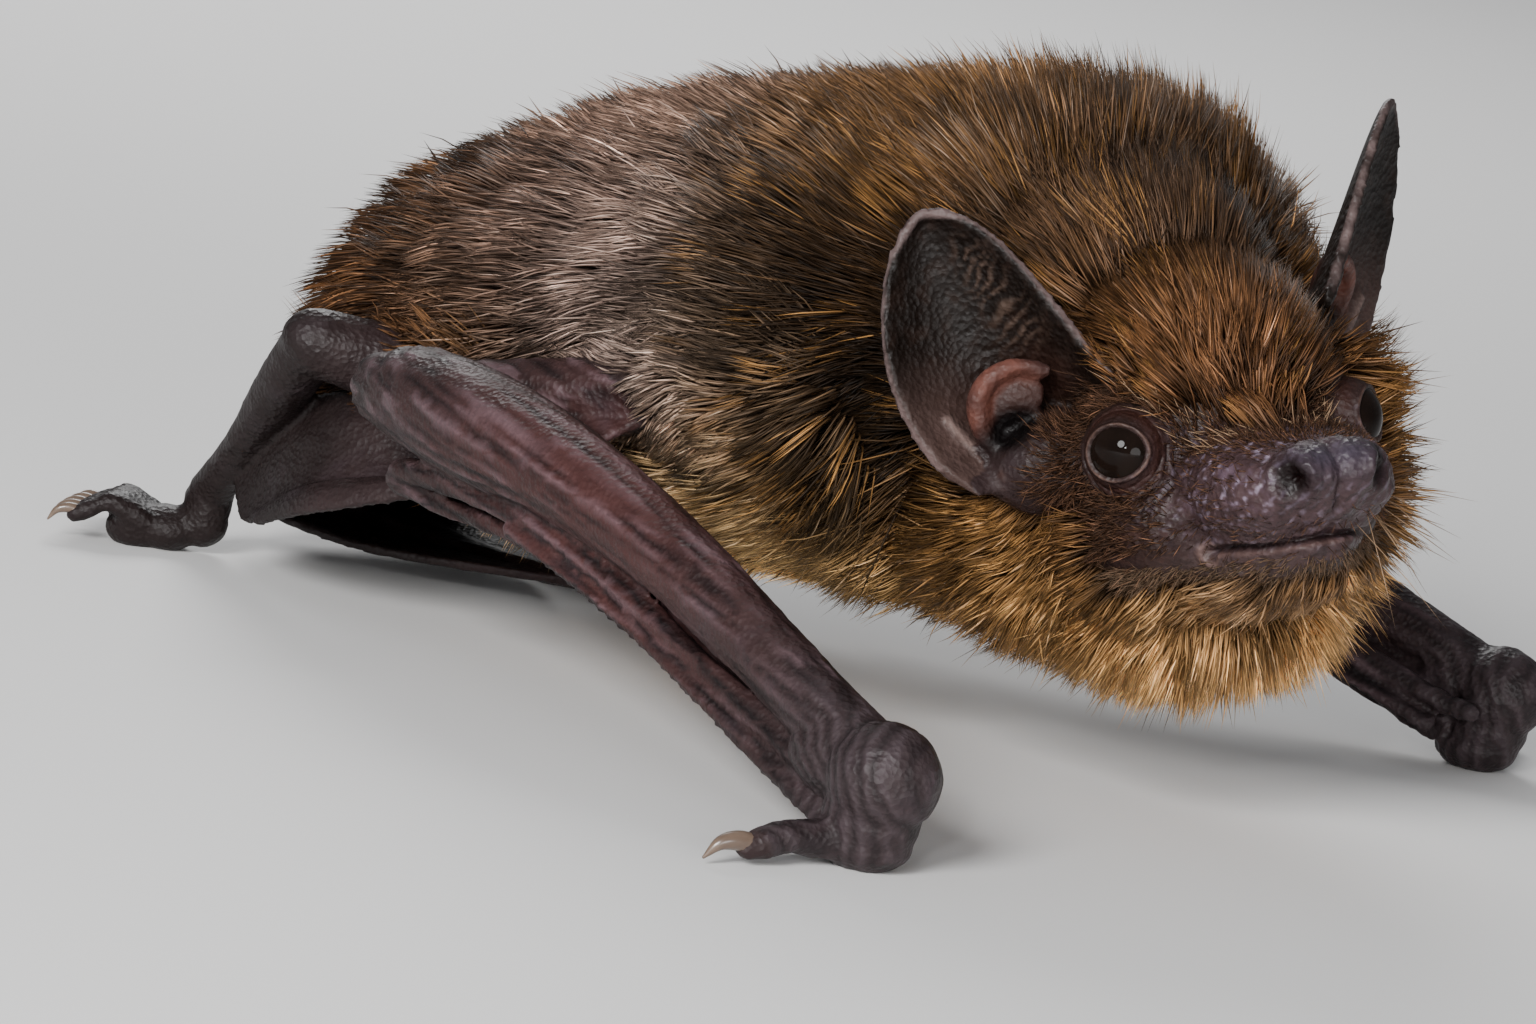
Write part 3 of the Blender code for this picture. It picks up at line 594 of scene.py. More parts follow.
THIGH = ((0.0, 2.2), (0.2, 2.3), (0.6, 1.8), (1.0, 1.45))  # share of the way, and radius
SHANK = ((0, 1.35), (0.3, 1.25), (0.65, 0.9), (0.92, 0.95), (1, 1.05))
TOE = ((0, -0.1, 0.6), (1.2, 0.5, 0.46), (1.7, 0.35, 0.38), (2.2, 0.1, 0.42), (2.8, -0.2, 0.4))
TOE_CLAW = ((2.6, -0.05, 0.26), (3.1, 0.05, 0.24), (3.6, -0.1, 0.17), (3.95, -0.55, 0.05))
THUMB_CLAW = (  # forward, out, up and radius, from the thumb's tip
    (0.0, -0.1, 0.1, 0.4),
    (-0.15, 0.5, 0.22, 0.36),
    (-0.38, 1.1, 0.1, 0.26),
    (-0.62, 1.6, -0.42, 0.06),
)


def flesh_of_leg(clay, claws, side):
    sign = SIGN[side]
    hip, knee, ankle = (np.array(p[side]) for p in (HIP, KNEE, ANKLE))
    clay.tube([(*mix(hip, knee, t), r) for t, r in THIGH])
    clay.tube([(*mix(knee, ankle, t), r) for t, r in SHANK])
    heel = ankle + (-0.4, 0, -1.5)
    forward = np.array((-0.82, 0.56 * sign, 0))
    across = np.array((0.56, 0.82 * sign, 0))
    up = np.array((0, 0, 1.0))
    clay.ball(mix(ankle, heel, 0.4), (1.1, 1.05, 1.3))
    clay.ball(heel, (1.25, 1.15, 1.15))
    clay.ball(heel + forward * 1.6 - up * 0.5, (1.6, 1.45, 1.05))
    clay.ball(heel + forward * 2.8 - up * 0.7, (1.45, 1.55, 1.0))
    for toe in range(5):
        spread = (toe - 2) / 2
        way = unit(forward + across * 0.3 * spread)
        root = heel + forward * 2.6 + across * 1.15 * spread
        for form, stations, sides in ((clay, TOE, 12), (claws, TOE_CLAW, 10)):
            path = [(*(root + way * reach + up * rise), r) for reach, rise, r in stations]
            form.tube(path, sides=sides)


TAIL = ((-25.0, 0, 8.0), (-29.5, 0, 5.6), (-28.6, 0, 2.4), (-22, 0, 1.5), (-12, 0, 1.8))
TAIL_RADII = (1.2, 0.95, 0.8, 0.65, 0.4)
TAIL_HEM = ((-22.0, 8.0, 8.4), (-25.5, 7.4, 4.8), (-26.0, 6.6, 2.6), (-20, 5.4, 1.7))


def flesh_of_tail(clay):
    clay.tube([(*p, r) for p, r in zip(TAIL, TAIL_RADII)], steps=8)
    course = catmull(TAIL, 12)
    for sign in SIGN.values():
        edge = catmull([(x, y * sign, z) for x, y, z in (*TAIL_HEM, (-13.0, 0.9, 1.7))], 12)

        def sheet(u, v):
            bulge = np.array((-1.2, 0, 0)) * math.sin(u * math.pi) * (1 - v)
            crease = np.array((0.12, 0, 0.12)) * math.sin(u * 7 * math.pi) * math.sin(v * math.pi)
            return mix(along(course, v), along(edge, v), u) + bulge + crease

        clay.sheet(sheet, 30, 50)


def thumb_claw(claws, side):
    sign = SIGN[side]
    tip = np.array(WRIST[side]) * (1, 1, 0) + (-2.1, 4.45 * sign, 0.7)
    claws.tube([(*(tip + (x, y * sign, z)), r) for x, y, z, r in THUMB_CLAW], sides=12)


EYE_FOLDS = (2.0, 2.5, 3.1)  # distances of the folds below the eye from where it looks out


def eye_centre(sign):
    return np.array((EYE[0], EYE[1] * sign, EYE[2]))


def eye_angles(h, sign):
    """Distance from the eye's centre, and the angle from its gaze in degrees."""
    at = h - eye_centre(sign)
    gaze = unit(np.array(GAZE) * (1, sign, 1))
    return at, np.linalg.norm(at, axis=1), np.degrees(np.arccos(np.clip(unit(at) @ gaze, -1, 1)))


def near_eyes(h, reach):
    return np.any([eye_angles(h, sign)[1] < reach for sign in SIGN.values()], axis=0)


def eye_opening(at, sign):
    """Half the angle that the lids leave open: a little pointed at the front corner."""
    way = unit(at)
    front = np.clip(way @ unit(np.array((0.71, -0.7 * sign, -0.1))), 0, 1)
    return 46 - 15 * way[:, 2] ** 2 + 8 * front**4


def mouth_line(h):
    return -2.05 + 0.0423 * (h[:, 0] - 11) + 0.05 * np.sin(h[:, 0] * 1.7)


def mouth_corner(sign):
    return np.array((11.25, 3.2 * sign, -2.15))


def nostril(h, sign):
    """How far from the nostril's comma, as a share of its own size."""
    at = h - np.array((16.5, 1.85 * sign, 0.4))
    way = unit(np.array((0.5, 0.25 * sign, -0.5)))
    along = at @ way
    across = np.linalg.norm(at - along[:, None] * way, axis=1)
    return np.hypot(along / 0.85, across / 0.5)


LIP_FORM = ((-0.32, 0, 0.11), (0.04, -0.3, 0.16), (0.06, 0.3, 0.2), (-0.06, -0.75, 0.16))


def pressed_face(verts, out):
    """Nostrils, mouth, muzzle pads and the folds below the eye."""
    h = to_head(verts)
    x, y, z = h.T
    face = (np.abs(y) < 8) & (x > 5) & (np.abs(z) < 8)
    pad = smoothstep(8.5, 11, x) * smoothstep(-4.5, -2.5, z) * face
    move = np.zeros(len(verts))
    for sign in SIGN.values():
        r = nostril(h, sign)
        move -= 0.85 * np.exp(-(r**2) * 0.7) * face
        move += 0.17 * bell(r, 1.6, 0.5) * face
    move -= 0.2 * bell(y, 0, 0.25) * smoothstep(15, 16.2, x) * smoothstep(-1.6, -0.6, z)
    move -= 0.12 * bell(y, 0, 0.5) * smoothstep(10.5, 12, x) * face
    drop = z - mouth_line(h)
    lips = smoothstep(10.9, 11.7, x) * face
    for height, where, wide in LIP_FORM:
        move += height * lips * bell(drop, where, wide)
    for sign in SIGN.values():
        at = h - mouth_corner(sign)
        r = np.hypot(at[:, 0], at[:, 2])
        move += (0.08 * bell(r, 0.42, 0.13) - 0.2 * bell(r, 0, 0.26)) * (np.abs(at[:, 1]) < 1.4)
    move += 0.06 * pad * waves(h, 1.5, 3)
    move += 0.028 * pad * waves(h, 0.55, 4, 2)
    move += 0.03 * face * waves(h, 0.9, 5, 2) * (1 - pad)
    for sign in SIGN.values():
        at, r, angle = eye_angles(h, sign)
        far = np.radians(angle) * r
        lower = smoothstep(0.6, -0.6, at[:, 2])
        for fold, deep in zip(EYE_FOLDS, (0.07, 0.09, 0.07)):
            crease = bell(far - fold - 0.12 * waves(h, 2.5, 6, 1), 0, 0.11)
            move -= deep * crease * lower * (r < 3.6) * face
        upper = smoothstep(-0.2, 0.8, at[:, 2])
        move -= 0.08 * bell(far, 2.0, 0.14) * upper * (r < 3.2) * face
    return verts + out * move[:, None]


def lidded(verts):
    """The skin lies on the eyeball, rolls over at the opening and goes in behind it."""
    h = to_head(verts)
    for sign in SIGN.values():
        at, r, angle = eye_angles(h, sign)
        wide = eye_opening(at, sign)
        inside = 1 - smoothstep(wide - 4, wide + 0.5, angle)
        lid = bell(angle - wide, 3.5, 3.5)
        near = smoothstep(2.9, 1.9, r)
        outer = np.maximum(r, EYE_RADIUS + 0.08) + 0.06 * lid * near
        outer = np.where(angle < 75, mix(r, outer, near), r)
        target = mix(outer, 1.2, inside * near)
        target = np.where((r < 1.58) & (angle >= 75), 1.58, target)
        h = np.where((r < 2.9)[:, None], eye_centre(sign) + unit(at) * target[:, None], h)
    return head(h)


def ribbed_ears(verts):
    """Transverse ridges in the front half of each ear, and the lobe's own fold."""
    for side in SIGN:
        e = to_ear(verts, side)
        s, off = ear_parts(e, side)
        on_ear = (np.abs(off) < 0.8) & (np.abs(s) < 1.15)
        wave, band = ear_ridges(e, s)
        shift = -0.06 * wave * band * (off < 0) * on_ear * (e[:, 1] > 1)
        shift -= 0.3 * bell(lobe_fold(e), 0, 0.24) * (on_ear & (off < 0) & (e[:, 1] < 2.6))
        shift += 0.55 * ear_canal(e) ** 2
        e[:, 2] += shift
        verts = np.where((np.abs(shift) > 1e-5)[:, None], from_ear(e, side), verts)
    return verts


WRINKLE = 0.7  # from one of the forearm's wrinkles or pleats to the next


def creased_limbs(verts, out):
    """Lengthwise wrinkles on the forearms, folds across the wrists, fine puckers elsewhere."""
    move = 0.02 * waves(verts, 1.1, 8, 2)
    for side in SIGN:
        t, away, lengthwise, drop = on_forearm(verts, side)
        arm = (away < 4.6) * smoothstep(-0.02, 0.06, t) * smoothstep(1.0, 0.9, t)
        height = mix(0.045, 0.07, smoothstep(0.4, 1.3, drop))
        move += height * arm * waves(lengthwise, WRINKLE, 9, 2)
        folds, knuckle = wrist_folds(verts, side)
        move += 0.026 * folds * knuckle
        bend = smoothstep(0.1, 0.02, t) * (away < 4)
        far = np.linalg.norm(verts - np.array(ELBOW[side]) + (0, 0, 3.0), axis=1)
        move += 0.05 * bend * np.sin(far * 2 * math.pi / 0.7 + waves(verts, 2.2, 12, 1))
    return verts + out * (move * (1 - near_head(verts)))[:, None]


def wrist_folds(p, side):
    """The skin's folds across the wrist, as waves, and where they are."""
    t, away, _, _ = on_forearm(p, side)
    far = np.linalg.norm(p - np.array(WRIST[side]) + (4.5, 0, 1.5), axis=1)
    folds = np.sin(far * 2 * math.pi / 0.56 + 1.9 * waves(p, 2.2, 10, 2))
    return folds, smoothstep(0.82, 0.92, t) * (away < 5)


def on_forearm(p, side):
    """Share of the way along the forearm, distance from its axis, places squeezed lengthwise,
    and depth below the axis."""
    elbow, wrist = np.array(ELBOW[side]), np.array(WRIST[side])
    way = wrist - elbow
    t = ((p - elbow) @ way) / (way @ way)
    middle = elbow + np.clip(t, 0, 1)[:, None] * way
    middle[:, 2] += FOREARM_BOW * np.sin(math.pi * np.clip(t, 0, 1) ** 0.8)
    away = np.linalg.norm(p - middle, axis=1)
    long = unit(way)
    return t, away, p - 0.94 * (p @ long)[:, None] * long, middle[:, 2] - p[:, 2]


def near_head(p):
    """1 on the head's own flesh, 0 on the trunk and the limbs."""
    x, y, z = to_head(p).T
    return smoothstep(-4, -1, x) * smoothstep(10.5, 9.5, np.abs(y)) * smoothstep(-8.5, -7, z)


def lighten(skin, share):
    """Keeps the head and wrists fine, and thins the mesh under the coat and on the wings."""
    verts = places(skin)
    fine = near_head(verts)
    for side in SIGN:
        fine = np.maximum(fine, np.linalg.norm(verts - np.array(WRIST[side]), axis=1) < 4.5)
        e = to_ear(verts, side)
        fine = np.maximum(fine, (np.abs(e[:, 0]) < 5) & (e[:, 1] > -1) & (np.abs(e[:, 2]) < 5))
    group = skin.vertex_groups.new(name="plain")
    group.add(np.flatnonzero(fine < 0.5).tolist(), 1.0, "REPLACE")
    thin = skin.modifiers.new("Decimate", "DECIMATE")
    thin.ratio = share
    thin.vertex_group = "plain"
    applied(skin)
    skin.vertex_groups.clear()


SKIN_VOXEL = 0.17
HEAD_ROUNDS = 60  # of smoothing
SKIN_GAP = 0.02  # the skin stays this far above the floor
KEPT_SHARE = 0.47  # of the plain skin's faces, when it is thinned


def build_flesh():
    clay, claws = Clay(), Clay()
    flesh_of_trunk(clay)
    flesh_of_head(clay)
    flesh_of_tail(clay)
    for side in SIGN:
        flesh_of_arm(clay, side)
        flesh_of_wing(clay, side)
        flesh_of_leg(clay, claws, side)
        thumb_claw(claws, side)
    skin = clay.object("skin")
    remeshed(skin, SKIN_VOXEL)
    smooth = skin.modifiers.new("Smooth", "SMOOTH")
    smooth.factor = 0.5
    smooth.iterations = 2
    applied(skin)
    smooth_head(skin)

    h = to_head(places(skin))
    muzzle = (h[:, 0] > 10.2) & (np.abs(h[:, 1]) < 4.5) & (h[:, 2] > -3.6)
    refined(skin, muzzle | near_eyes(h, 3.4))
    refined(skin, near_eyes(to_head(places(skin)), 2.3))
    verts = places(skin)
    h = to_head(verts)
    fine = near_eyes(h, 3.2) | (h[:, 0] > 10) & (near_head(verts) > 0.5)
    verts = blended(verts, edges(skin), fine * 0.8, 3)
    move_to(skin, verts)
    verts = pressed_face(verts, normals(skin))
    verts = ribbed_ears(lidded(verts))
    verts = creased_limbs(verts, normals(skin))
    verts[:, 2] = np.maximum(verts[:, 2], SKIN_GAP)
    move_to(skin, verts)
    lighten(skin, KEPT_SHARE)
    return skin, claws.object("claws")


def smooth_head(skin):
    """Blends the head's masses into one another, but leaves the ears' thin sheets."""
    verts = places(skin)
    soft = near_head(verts) * mix(1.0, 0.35, smoothstep(13.5, 15.5, to_head(verts)[:, 0]))
    for side in SIGN:
        e = to_ear(verts, side)
        ear = smoothstep(-1.4, 0.2, e[:, 1]) * (np.abs(e[:, 0]) < 5) * (np.abs(e[:, 2] - 1) < 4)
        soft = np.minimum(soft, 1 - ear)
    move_to(skin, blended(verts, edges(skin), soft, HEAD_ROUNDS))


# ---------------------------------------------------------------- markings, painted light and shade


def tone(r, g, b):
    """An sRGB colour of 0 to 255 as the shader's own linear values."""
    c = np.array((r, g, b)) / 255
    return np.where(c <= 0.04045, c / 12.92, ((c + 0.055) / 1.055) ** 2.4)


# Coat markings, with painted sheen and painted light in some rows: frame (B body, H head), centre
# with |y|, reach, tip colour, middle colour
MARKINGS = (
    # Flank and back: the flank's own lilac-grey, painted paler as painted light where the arm
    # shades it, then a painted grey sheen on the back
    ("B", (1.2, 13.0, 15.5), 5.8, (224, 202, 200), (134, 114, 112)),
    ("B", (-5, 7, 22), 7.5, (126, 102, 92), (62, 46, 40)),
    ("B", (-11, 9, 19), 5.0, (112, 90, 80), (56, 41, 34)),
    ("B", (-20, 9, 14), 7.5, (72, 45, 25), (29, 17, 9)),
    ("B", (-18, 5, 20), 6.0, (78, 53, 34), (33, 21, 13)),
    ("B", (-15, 10, 11), 6.0, (84, 56, 34), (40, 26, 15)),
    ("B", (8.5, 12.8, 14.5), 7.0, (14, 7, 2), (8, 4, 2)),
    ("B", (12.5, 11.5, 17.5), 4.6, (14, 7, 2), (8, 4, 2)),
    # Golden belly: its own colour, painted brighter still as painted light where the forearm
    # shades it
    ("B", (5.5, 9, 6), 7.2, (255, 214, 146), (220, 158, 92)),
    ("B", (-8, 4, 3), 5.6, (236, 200, 150), (170, 130, 84)),
    ("B", (10, 5, 27), 5.5, (104, 76, 50), (48, 32, 21)),
    ("H", (6, 3.4, -6.0), 4.5, (250, 200, 134), (168, 118, 66)),
    ("H", (3.5, 10.0, -1.5), 3.4, (150, 106, 56), (72, 46, 22)),
    ("H", (3, 9.5, -5), 3.6, (206, 162, 106), (112, 82, 48)),
    ("H", (6.8, 5.2, 7.4), 2.6, (118, 78, 42), (41, 26, 14)),
    ("H", (7.6, 6.2, -1.6), 2.2, (84, 55, 31), (38, 24, 13)),
    ("H", (11, 1, -4.8), 2.6, (168, 136, 104), (92, 68, 50)),
    ("H", (9.7, 3.8, 6), 2.8, (80, 51, 27), (33, 20, 11)),
    ("H", (5.5, 2, 11.0), 4.6, (86, 67, 55), (36, 26, 21)),
    ("H", (0, 9, 13.5), 4.0, (144, 102, 58), (62, 40, 21)),
    ("H", (11.0, 0.6, 3.6), 2.4, (142, 98, 66), (68, 45, 31)),
)
COAT_TIP, COAT_MIDDLE, COAT_ROOT = (152, 108, 62), (68, 44, 25), (20, 13, 10)
GOLD = (190, 138, 78)  # of scattered tufts on the head and shoulders
BARE_SKIN = (43, 32, 32)


def coat_colours(p):
    """The colours of the coat's tips, middles and roots above each place."""
    body = p * (1, 0, 1) + np.abs(p) * (0, 1, 0)
    h = to_head(p)
    h[:, 1] = np.abs(h[:, 1])
    total = np.full(len(p), 0.12)
    tip = total[:, None] * np.array(COAT_TIP)
    middle = total[:, None] * np.array(COAT_MIDDLE)
    for where, centre, reach, tip_tone, middle_tone in MARKINGS:
        w = blob(body if where == "B" else h, centre, reach)
        total += w
        tip += w[:, None] * np.array(tip_tone)
        middle += w[:, None] * np.array(middle_tone)
    tip, middle = (tone(*(v / total[:, None]).T).T for v in (tip, middle))
    patch = 1 + 0.34 * waves(p, 4.5, 11) + 0.16 * waves(p, 1.4, 12, 2)
    return tip * patch[:, None], middle * patch[:, None], tone(*COAT_ROOT) * patch[:, None]


def skin_colours(p, cover):
    """Bare skin's colours with its painted shade and highlights, and the coat's brown beneath the
    fur.
    """
    colour = np.tile(tone(*BARE_SKIN), (len(p), 1))
    colour = limb_colours(p, colour)
    colour = face_colours(p, colour)
    for side in SIGN:
        colour = ear_colours(p, side, colour)
    _, brown, root = coat_colours(p)
    return mix(colour, mix(root, brown, 0.45), cover[:, None])


def washed(colour, *washes):
    """Lays thin colours over one another; each wash is a weight and an sRGB colour."""
    for weight, *rgb in washes:
        colour = mix(colour, tone(*rgb), np.clip(weight, 0, 1)[:, None])
    return colour


def limb_colours(p, colour):
    """Redder in the middle of the forearm, greyer at the wrist and feet, with painted shade in the
    folds, wrinkles and pleats and painted highlights on their crests.
    """
    for side in SIGN:
        t, away, lengthwise, _ = on_forearm(p, side)
        folds, knuckle = wrist_folds(p, side)
        fine = waves(lengthwise, WRINKLE, 9, 2)
        upper = (away < 4.6) * smoothstep(0.95, 0.85, t)
        colour = washed(
            colour,
            (0.8 * bell(t, 0.45, 0.28) * (away < 4.6), 66, 38, 36),
            (0.7 * bell(t, 1.0, 0.12) * (away < 5), 48, 40, 42),
            # Painted shade in the wrist's folds and a painted highlight on their crests
            (0.5 * smoothstep(-0.2, -1.0, folds) * knuckle, 14, 10, 11),
            (0.12 * smoothstep(0.3, 1.0, folds) * knuckle, 104, 92, 98),
            # Painted shade in the forearm's wrinkle troughs and painted highlights on their crests
            (0.75 * smoothstep(0.1, -0.9, fine) * upper, 14, 8, 9),
            (0.35 * smoothstep(0.2, 1.1, fine) * upper, 118, 96, 102),
            # Painted shade between the folded fingers
            (0.85 * shade_between_fingers(p, side) * upper, 10, 6, 7),
        )
    return washed(
        colour,
        (0.75 * smoothstep(-15, -18, p[:, 0]), 22, 16, 15),
        (0.25 * smoothstep(0.2, 1.2, waves(p, 3.2, 13)), 62, 52, 57),
    )


def shade_between_fingers(p, side):
    """Painted shade: dark lines along the underside of the forearm, between the folded fingers."""
    t, _, _, drop = on_forearm(p, side)
    turns = 2 * math.pi * (drop + 0.12 * waves(p, 5.0, 41, 1)) / WRINKLE
    line = smoothstep(0.35, 1.0, np.cos(turns)) * smoothstep(0.9, 1.6, drop)
    return line * smoothstep(0.02, 0.12, t) * smoothstep(1.0, 0.9, t)


def face_colours(p, colour):
    """Lilac-brown muzzle with a painted lilac sheen, painted highlight flecks and a painted
    highlight on the nose, red-brown round the eye, pale lid rim and lip, and painted shade in the
    mouth's crease.
    """
    h = to_head(p)
    side_y = np.abs(h[:, 1])
    face = (h[:, 0] > 4) * (side_y < 8.5) * (np.abs(h[:, 2]) < 8)
    folded = np.stack((h[:, 0], side_y, h[:, 2]), 1)
    mottle = waves(h, 0.9, 14, 3)
    lilac = blob(folded, (13.2, 1.8, 0.7), (3.2, 2.6, 1.9))
    painted_glints = smoothstep(0.25, 1.0, waves(h, 0.55, 42, 2))
    colour = washed(
        colour,
        (0.9 * blob(folded, (13.3, 1.5, 0.3), (4.0, 3.4, 2.6)), 70, 52, 54),
        (0.95 * blob(folded, (8.6, 5.4, -1.1), (3.6, 2.8, 2.4)), 34, 18, 13),
        (0.9 * blob(folded, (7.8, 5.0, 3.4), (3.0, 2.4, 2.0)), 30, 18, 14),
        (0.8 * blob(folded, (12.2, 3.0, -3.3), (3.4, 2.6, 1.0)), 72, 58, 54),
        # Painted lilac sheen over the muzzle's mottle, and painted highlight flecks on it
        (0.55 * smoothstep(0.1, 1.0, mottle) * lilac, 100, 84, 100),
        (0.75 * painted_glints * lilac, 158, 144, 164),
        (0.3 * smoothstep(0.3, 1.2, mottle) * face * (1 - lilac), 66, 42, 33),
        (0.45 * smoothstep(-0.1, -1.0, mottle) * face, 24, 15, 15),
        # A painted bluish highlight on the top of the nose
        (0.85 * blob(folded, (16.6, 0.6, 1.2), (1.0, 1.5, 0.9)), 56, 50, 60),
    )
    for sign in SIGN.values():
        colour = eye_colours(h, face, sign, colour)
    drop = h[:, 2] - mouth_line(h)
    lips = smoothstep(10.9, 11.6, h[:, 0]) * face
    return washed(
        colour,
        (0.35 * lips * bell(drop, -0.22, 0.1), 88, 68, 62),
        # Painted shade along the crease between the lips
        (0.95 * lips * bell(drop, 0, 0.1), 18, 9, 9),
    )


def eye_colours(h, face, sign, colour):
    """One side's nostril, painted dark as shade in its hollow, ring round the eye, painted shade
    in the folds below it, lid rim, and corner of the mouth.
    """
    at, r, angle = eye_angles(h, sign)
    far = np.radians(angle) * r
    below = smoothstep(0.5, -0.5, at[:, 2])
    wide = eye_opening(at, sign)
    rim = bell(angle - wide, 2.2, 1.7) * (r < 2.0) * (0.32 + 0.4 * waves(h, 1.3, 16, 2))
    colour = washed(
        colour,
        # The nostril's hollow painted near-black as painted shade
        (1.7 * np.exp(-(nostril(h, sign) ** 2) * 0.6) * face, 12, 3, 3),
        (0.8 * bell(far, 1.95, 0.42) * (r < 3.2), 44, 23, 18),
    )
    # Painted shade along each crease below the eye
    for fold in EYE_FOLDS:
        line = bell(far - fold - 0.12 * waves(h, 2.5, 6, 1), 0, 0.1)
        colour = washed(colour, (0.6 * line * below * (r < 3.6) * face, 26, 15, 15))
    corner = (h - mouth_corner(sign)) * (1, 0.4, 1)
    corner = np.abs(np.linalg.norm(corner, axis=1) - 0.42)
    return washed(
        colour,
        (rim, 112, 86, 76),
        (1.0 * (angle < wide - 1) * (r < 2.2), 22, 14, 14),
        (0.4 * bell(corner, 0, 0.1) * face, 120, 96, 90),
    )


def ear_colours(p, side, colour):
    """Dark and warm inside, lilac at the outer lobe, a pale rim, a pink tragus, painted highlights
    on the ridges and painted shade in the canal.
    """
    e = to_ear(p, side)
    s, off = ear_parts(e, side)
    on_ear = (np.abs(off) < 0.7) & (np.abs(s) < 1.25) & (e[:, 1] > -1.7) & (e[:, 1] < 11)
    front = on_ear * (off < 0)
    lobe = smoothstep(-0.1, 0.7, s) * smoothstep(5.4, 1.2, e[:, 1])
    wave, band = ear_ridges(e, s)
    rim = np.maximum(smoothstep(0.96, 1.0, np.abs(s)), smoothstep(9.0, 9.25, e[:, 1] + 0.9 * s**2))
    rim *= 0.5 if side == "R" else 0.3 + 0.2 * waves(e, 1.2, 18, 2)
    tragus = distance_to(e, catmull([place[:3] for place in TRAGUS], 4))
    pink = smoothstep(0.8, 0.25, tragus) * smoothstep(0.5, 1.5, e[:, 1])
    pink *= smoothstep(-1.9, 0.4, e[:, 0])
    return washed(
        colour,
        (on_ear * 1.0, 15, 8, 5),
        (on_ear * lobe * 0.85, 70, 54, 50),
        (front * 0.3 * smoothstep(0.0, 1.0, waves(e, 1.1, 15, 2)), 42, 28, 22),
        # Painted highlights on the crests of the ear's ridges
        (front * band * smoothstep(0.2, 0.9, wave) * 0.45, 92, 74, 64),
        (on_ear * rim * (e[:, 1] > 0.4), 116, 98, 96),
        (front * (e[:, 1] < 2.6) * 0.6 * bell(lobe_fold(e), 0, 0.13), 132, 112, 106),
        (0.9 * blob(e, (0.0, 1.5, 1.3), (1.7, 1.4, 1.4)), 54, 31, 25),
        (pink * (0.58 + 0.3 * waves(e, 1.4, 17, 2)), 116, 70, 58),
        # The ear canal's hollow painted near-black as painted shade
        (1.7 * ear_canal(e), 5, 2, 2),
    )


# ---------------------------------------------------------------- the coat


SHELL_SWELL = 0.3  # joins the furred solids into one closed surface
SHELL_VOXEL = 0.4


def coat_shell():
    """The furred solids as one outer surface: where the coat's tips reach."""
    verts, faces, count = [], [], 0
    for name in ("head", "lower_jaw", "neck", "thorax", "abdomen"):
        node = frame["nodes"][name]
        verts.append(places(node) + normals(node) * SHELL_SWELL)
        faces.append(triangles(node) + count)
        count += len(verts[-1])
    shell = meshed("shell", metres(np.vstack(verts)).tolist(), np.vstack(faces).tolist())
    remeshed(shell, SHELL_VOXEL)
    applied(shell)
    tree = BVHTree.FromPolygons(places(shell).tolist(), triangles(shell).tolist())
    bpy.data.objects.remove(shell)
    return tree


def depth_below(tree, points):
    """How far each place lies under the coat's outer surface, or 0 outside it."""
    found = np.zeros(len(points))
    for i, p in enumerate(points.tolist()):
        place, normal, _, far = tree.find_nearest(p)
        inside = (place - Vector(p)).dot(normal) > 0
        found[i] = far - SHELL_SWELL if inside else 0.0
    return np.maximum(found, 0)


def bare_face(h):
    """How bare the face is: 1 on the muzzle and round the eyes, 0 in the coat."""
    x, y, z = h.T
    above = 2.2 + 0.05 * (12.5 - x) + 0.09 * y**2 - z + 0.1 * np.sin(3 * y)
    behind = (x - 7.3 + smoothstep(-0.8, 0.8, z) + 0.3 * np.sin(2.3 * z)) / 1.7
    below = z + 3.2 + 0.12 * np.sin(3.7 * y)
    nearest = np.minimum(np.minimum(above, behind), below)
    return smoothstep(-0.3, 0.3, nearest) * (np.abs(y) < 8.5)


def ruff(h):
    """1 on the fringe that stands out round the cheeks, throat and jaw."""
    band = bell(h[:, 0], 5.5, 3.2)
    return band * np.maximum(smoothstep(4.0, 5.5, np.abs(h[:, 1])), smoothstep(-3.5, -5, h[:, 2]))


def lie(p, out):
    """Which way the coat lies at each place, flat against the skin."""
    h = to_head(p)
    on_head = smoothstep(7, 15, p[:, 0]) * smoothstep(-7, 0, h[:, 0])
    back = np.tile((-1.0, 0.0, 0.0), (len(p), 1))
    flank = smoothstep(22, 12, p[:, 2]) * smoothstep(3, 8, p[:, 2])
    back[:, 2] -= 0.45 * flank
    back[:, 1] += 0.15 * np.sign(p[:, 1]) * flank
    from_nose = (unit(h - np.array((15.5, 0, 0.5)))) @ HEAD_TURN.T
    way = mix(unit(back), from_nose, on_head[:, None])
    swirl = np.stack([waves(p, 9, 21 + k, 2) for k in range(3)], 1)
    fine = np.stack([waves(p, 2.2, 31 + k, 2) for k in range(3)], 1)
    way = way + 0.36 * swirl + 0.36 * fine
    return unit(way - out * (way * out).sum(1)[:, None])


def sampled(verts, tris, weight, count):
    """Places spread over the triangles at random, as their corners and shares of these."""
    a, b, c = (verts[tris[:, k]] for k in range(3))
    area = np.linalg.norm(np.cross(b - a, c - a), axis=1) / 2 * weight
    chosen = np.searchsorted(np.cumsum(area), RNG.random(count) * area.sum())
    chosen = np.minimum(chosen, len(tris) - 1)
    u, v = np.sqrt(RNG.random(count)), RNG.random(count)
    return tris[chosen], np.stack((1 - u, u * (1 - v), u * v), 1)


def over(values, corners, shares):
    return np.einsum("nk...,nk->n...", values[corners], shares)


def curved(root, way, normal, long, steep, low):
    """The bends and tips of locks that leave the skin at one angle and end at another."""
    half = (long / 2)[:, None]
    first = root + half * (np.cos(steep)[:, None] * way + np.sin(steep)[:, None] * normal)
    return first, first + half * (np.cos(low)[:, None] * way + np.sin(low)[:, None] * normal)


LONG_LOCK = ((0.0, 0.42, 0.8), (0.8, 1.0, 0.6))  # rings along a lock, and their widths
SHORT_LOCK = ((0.0, 0.55), (0.85, 1.0))


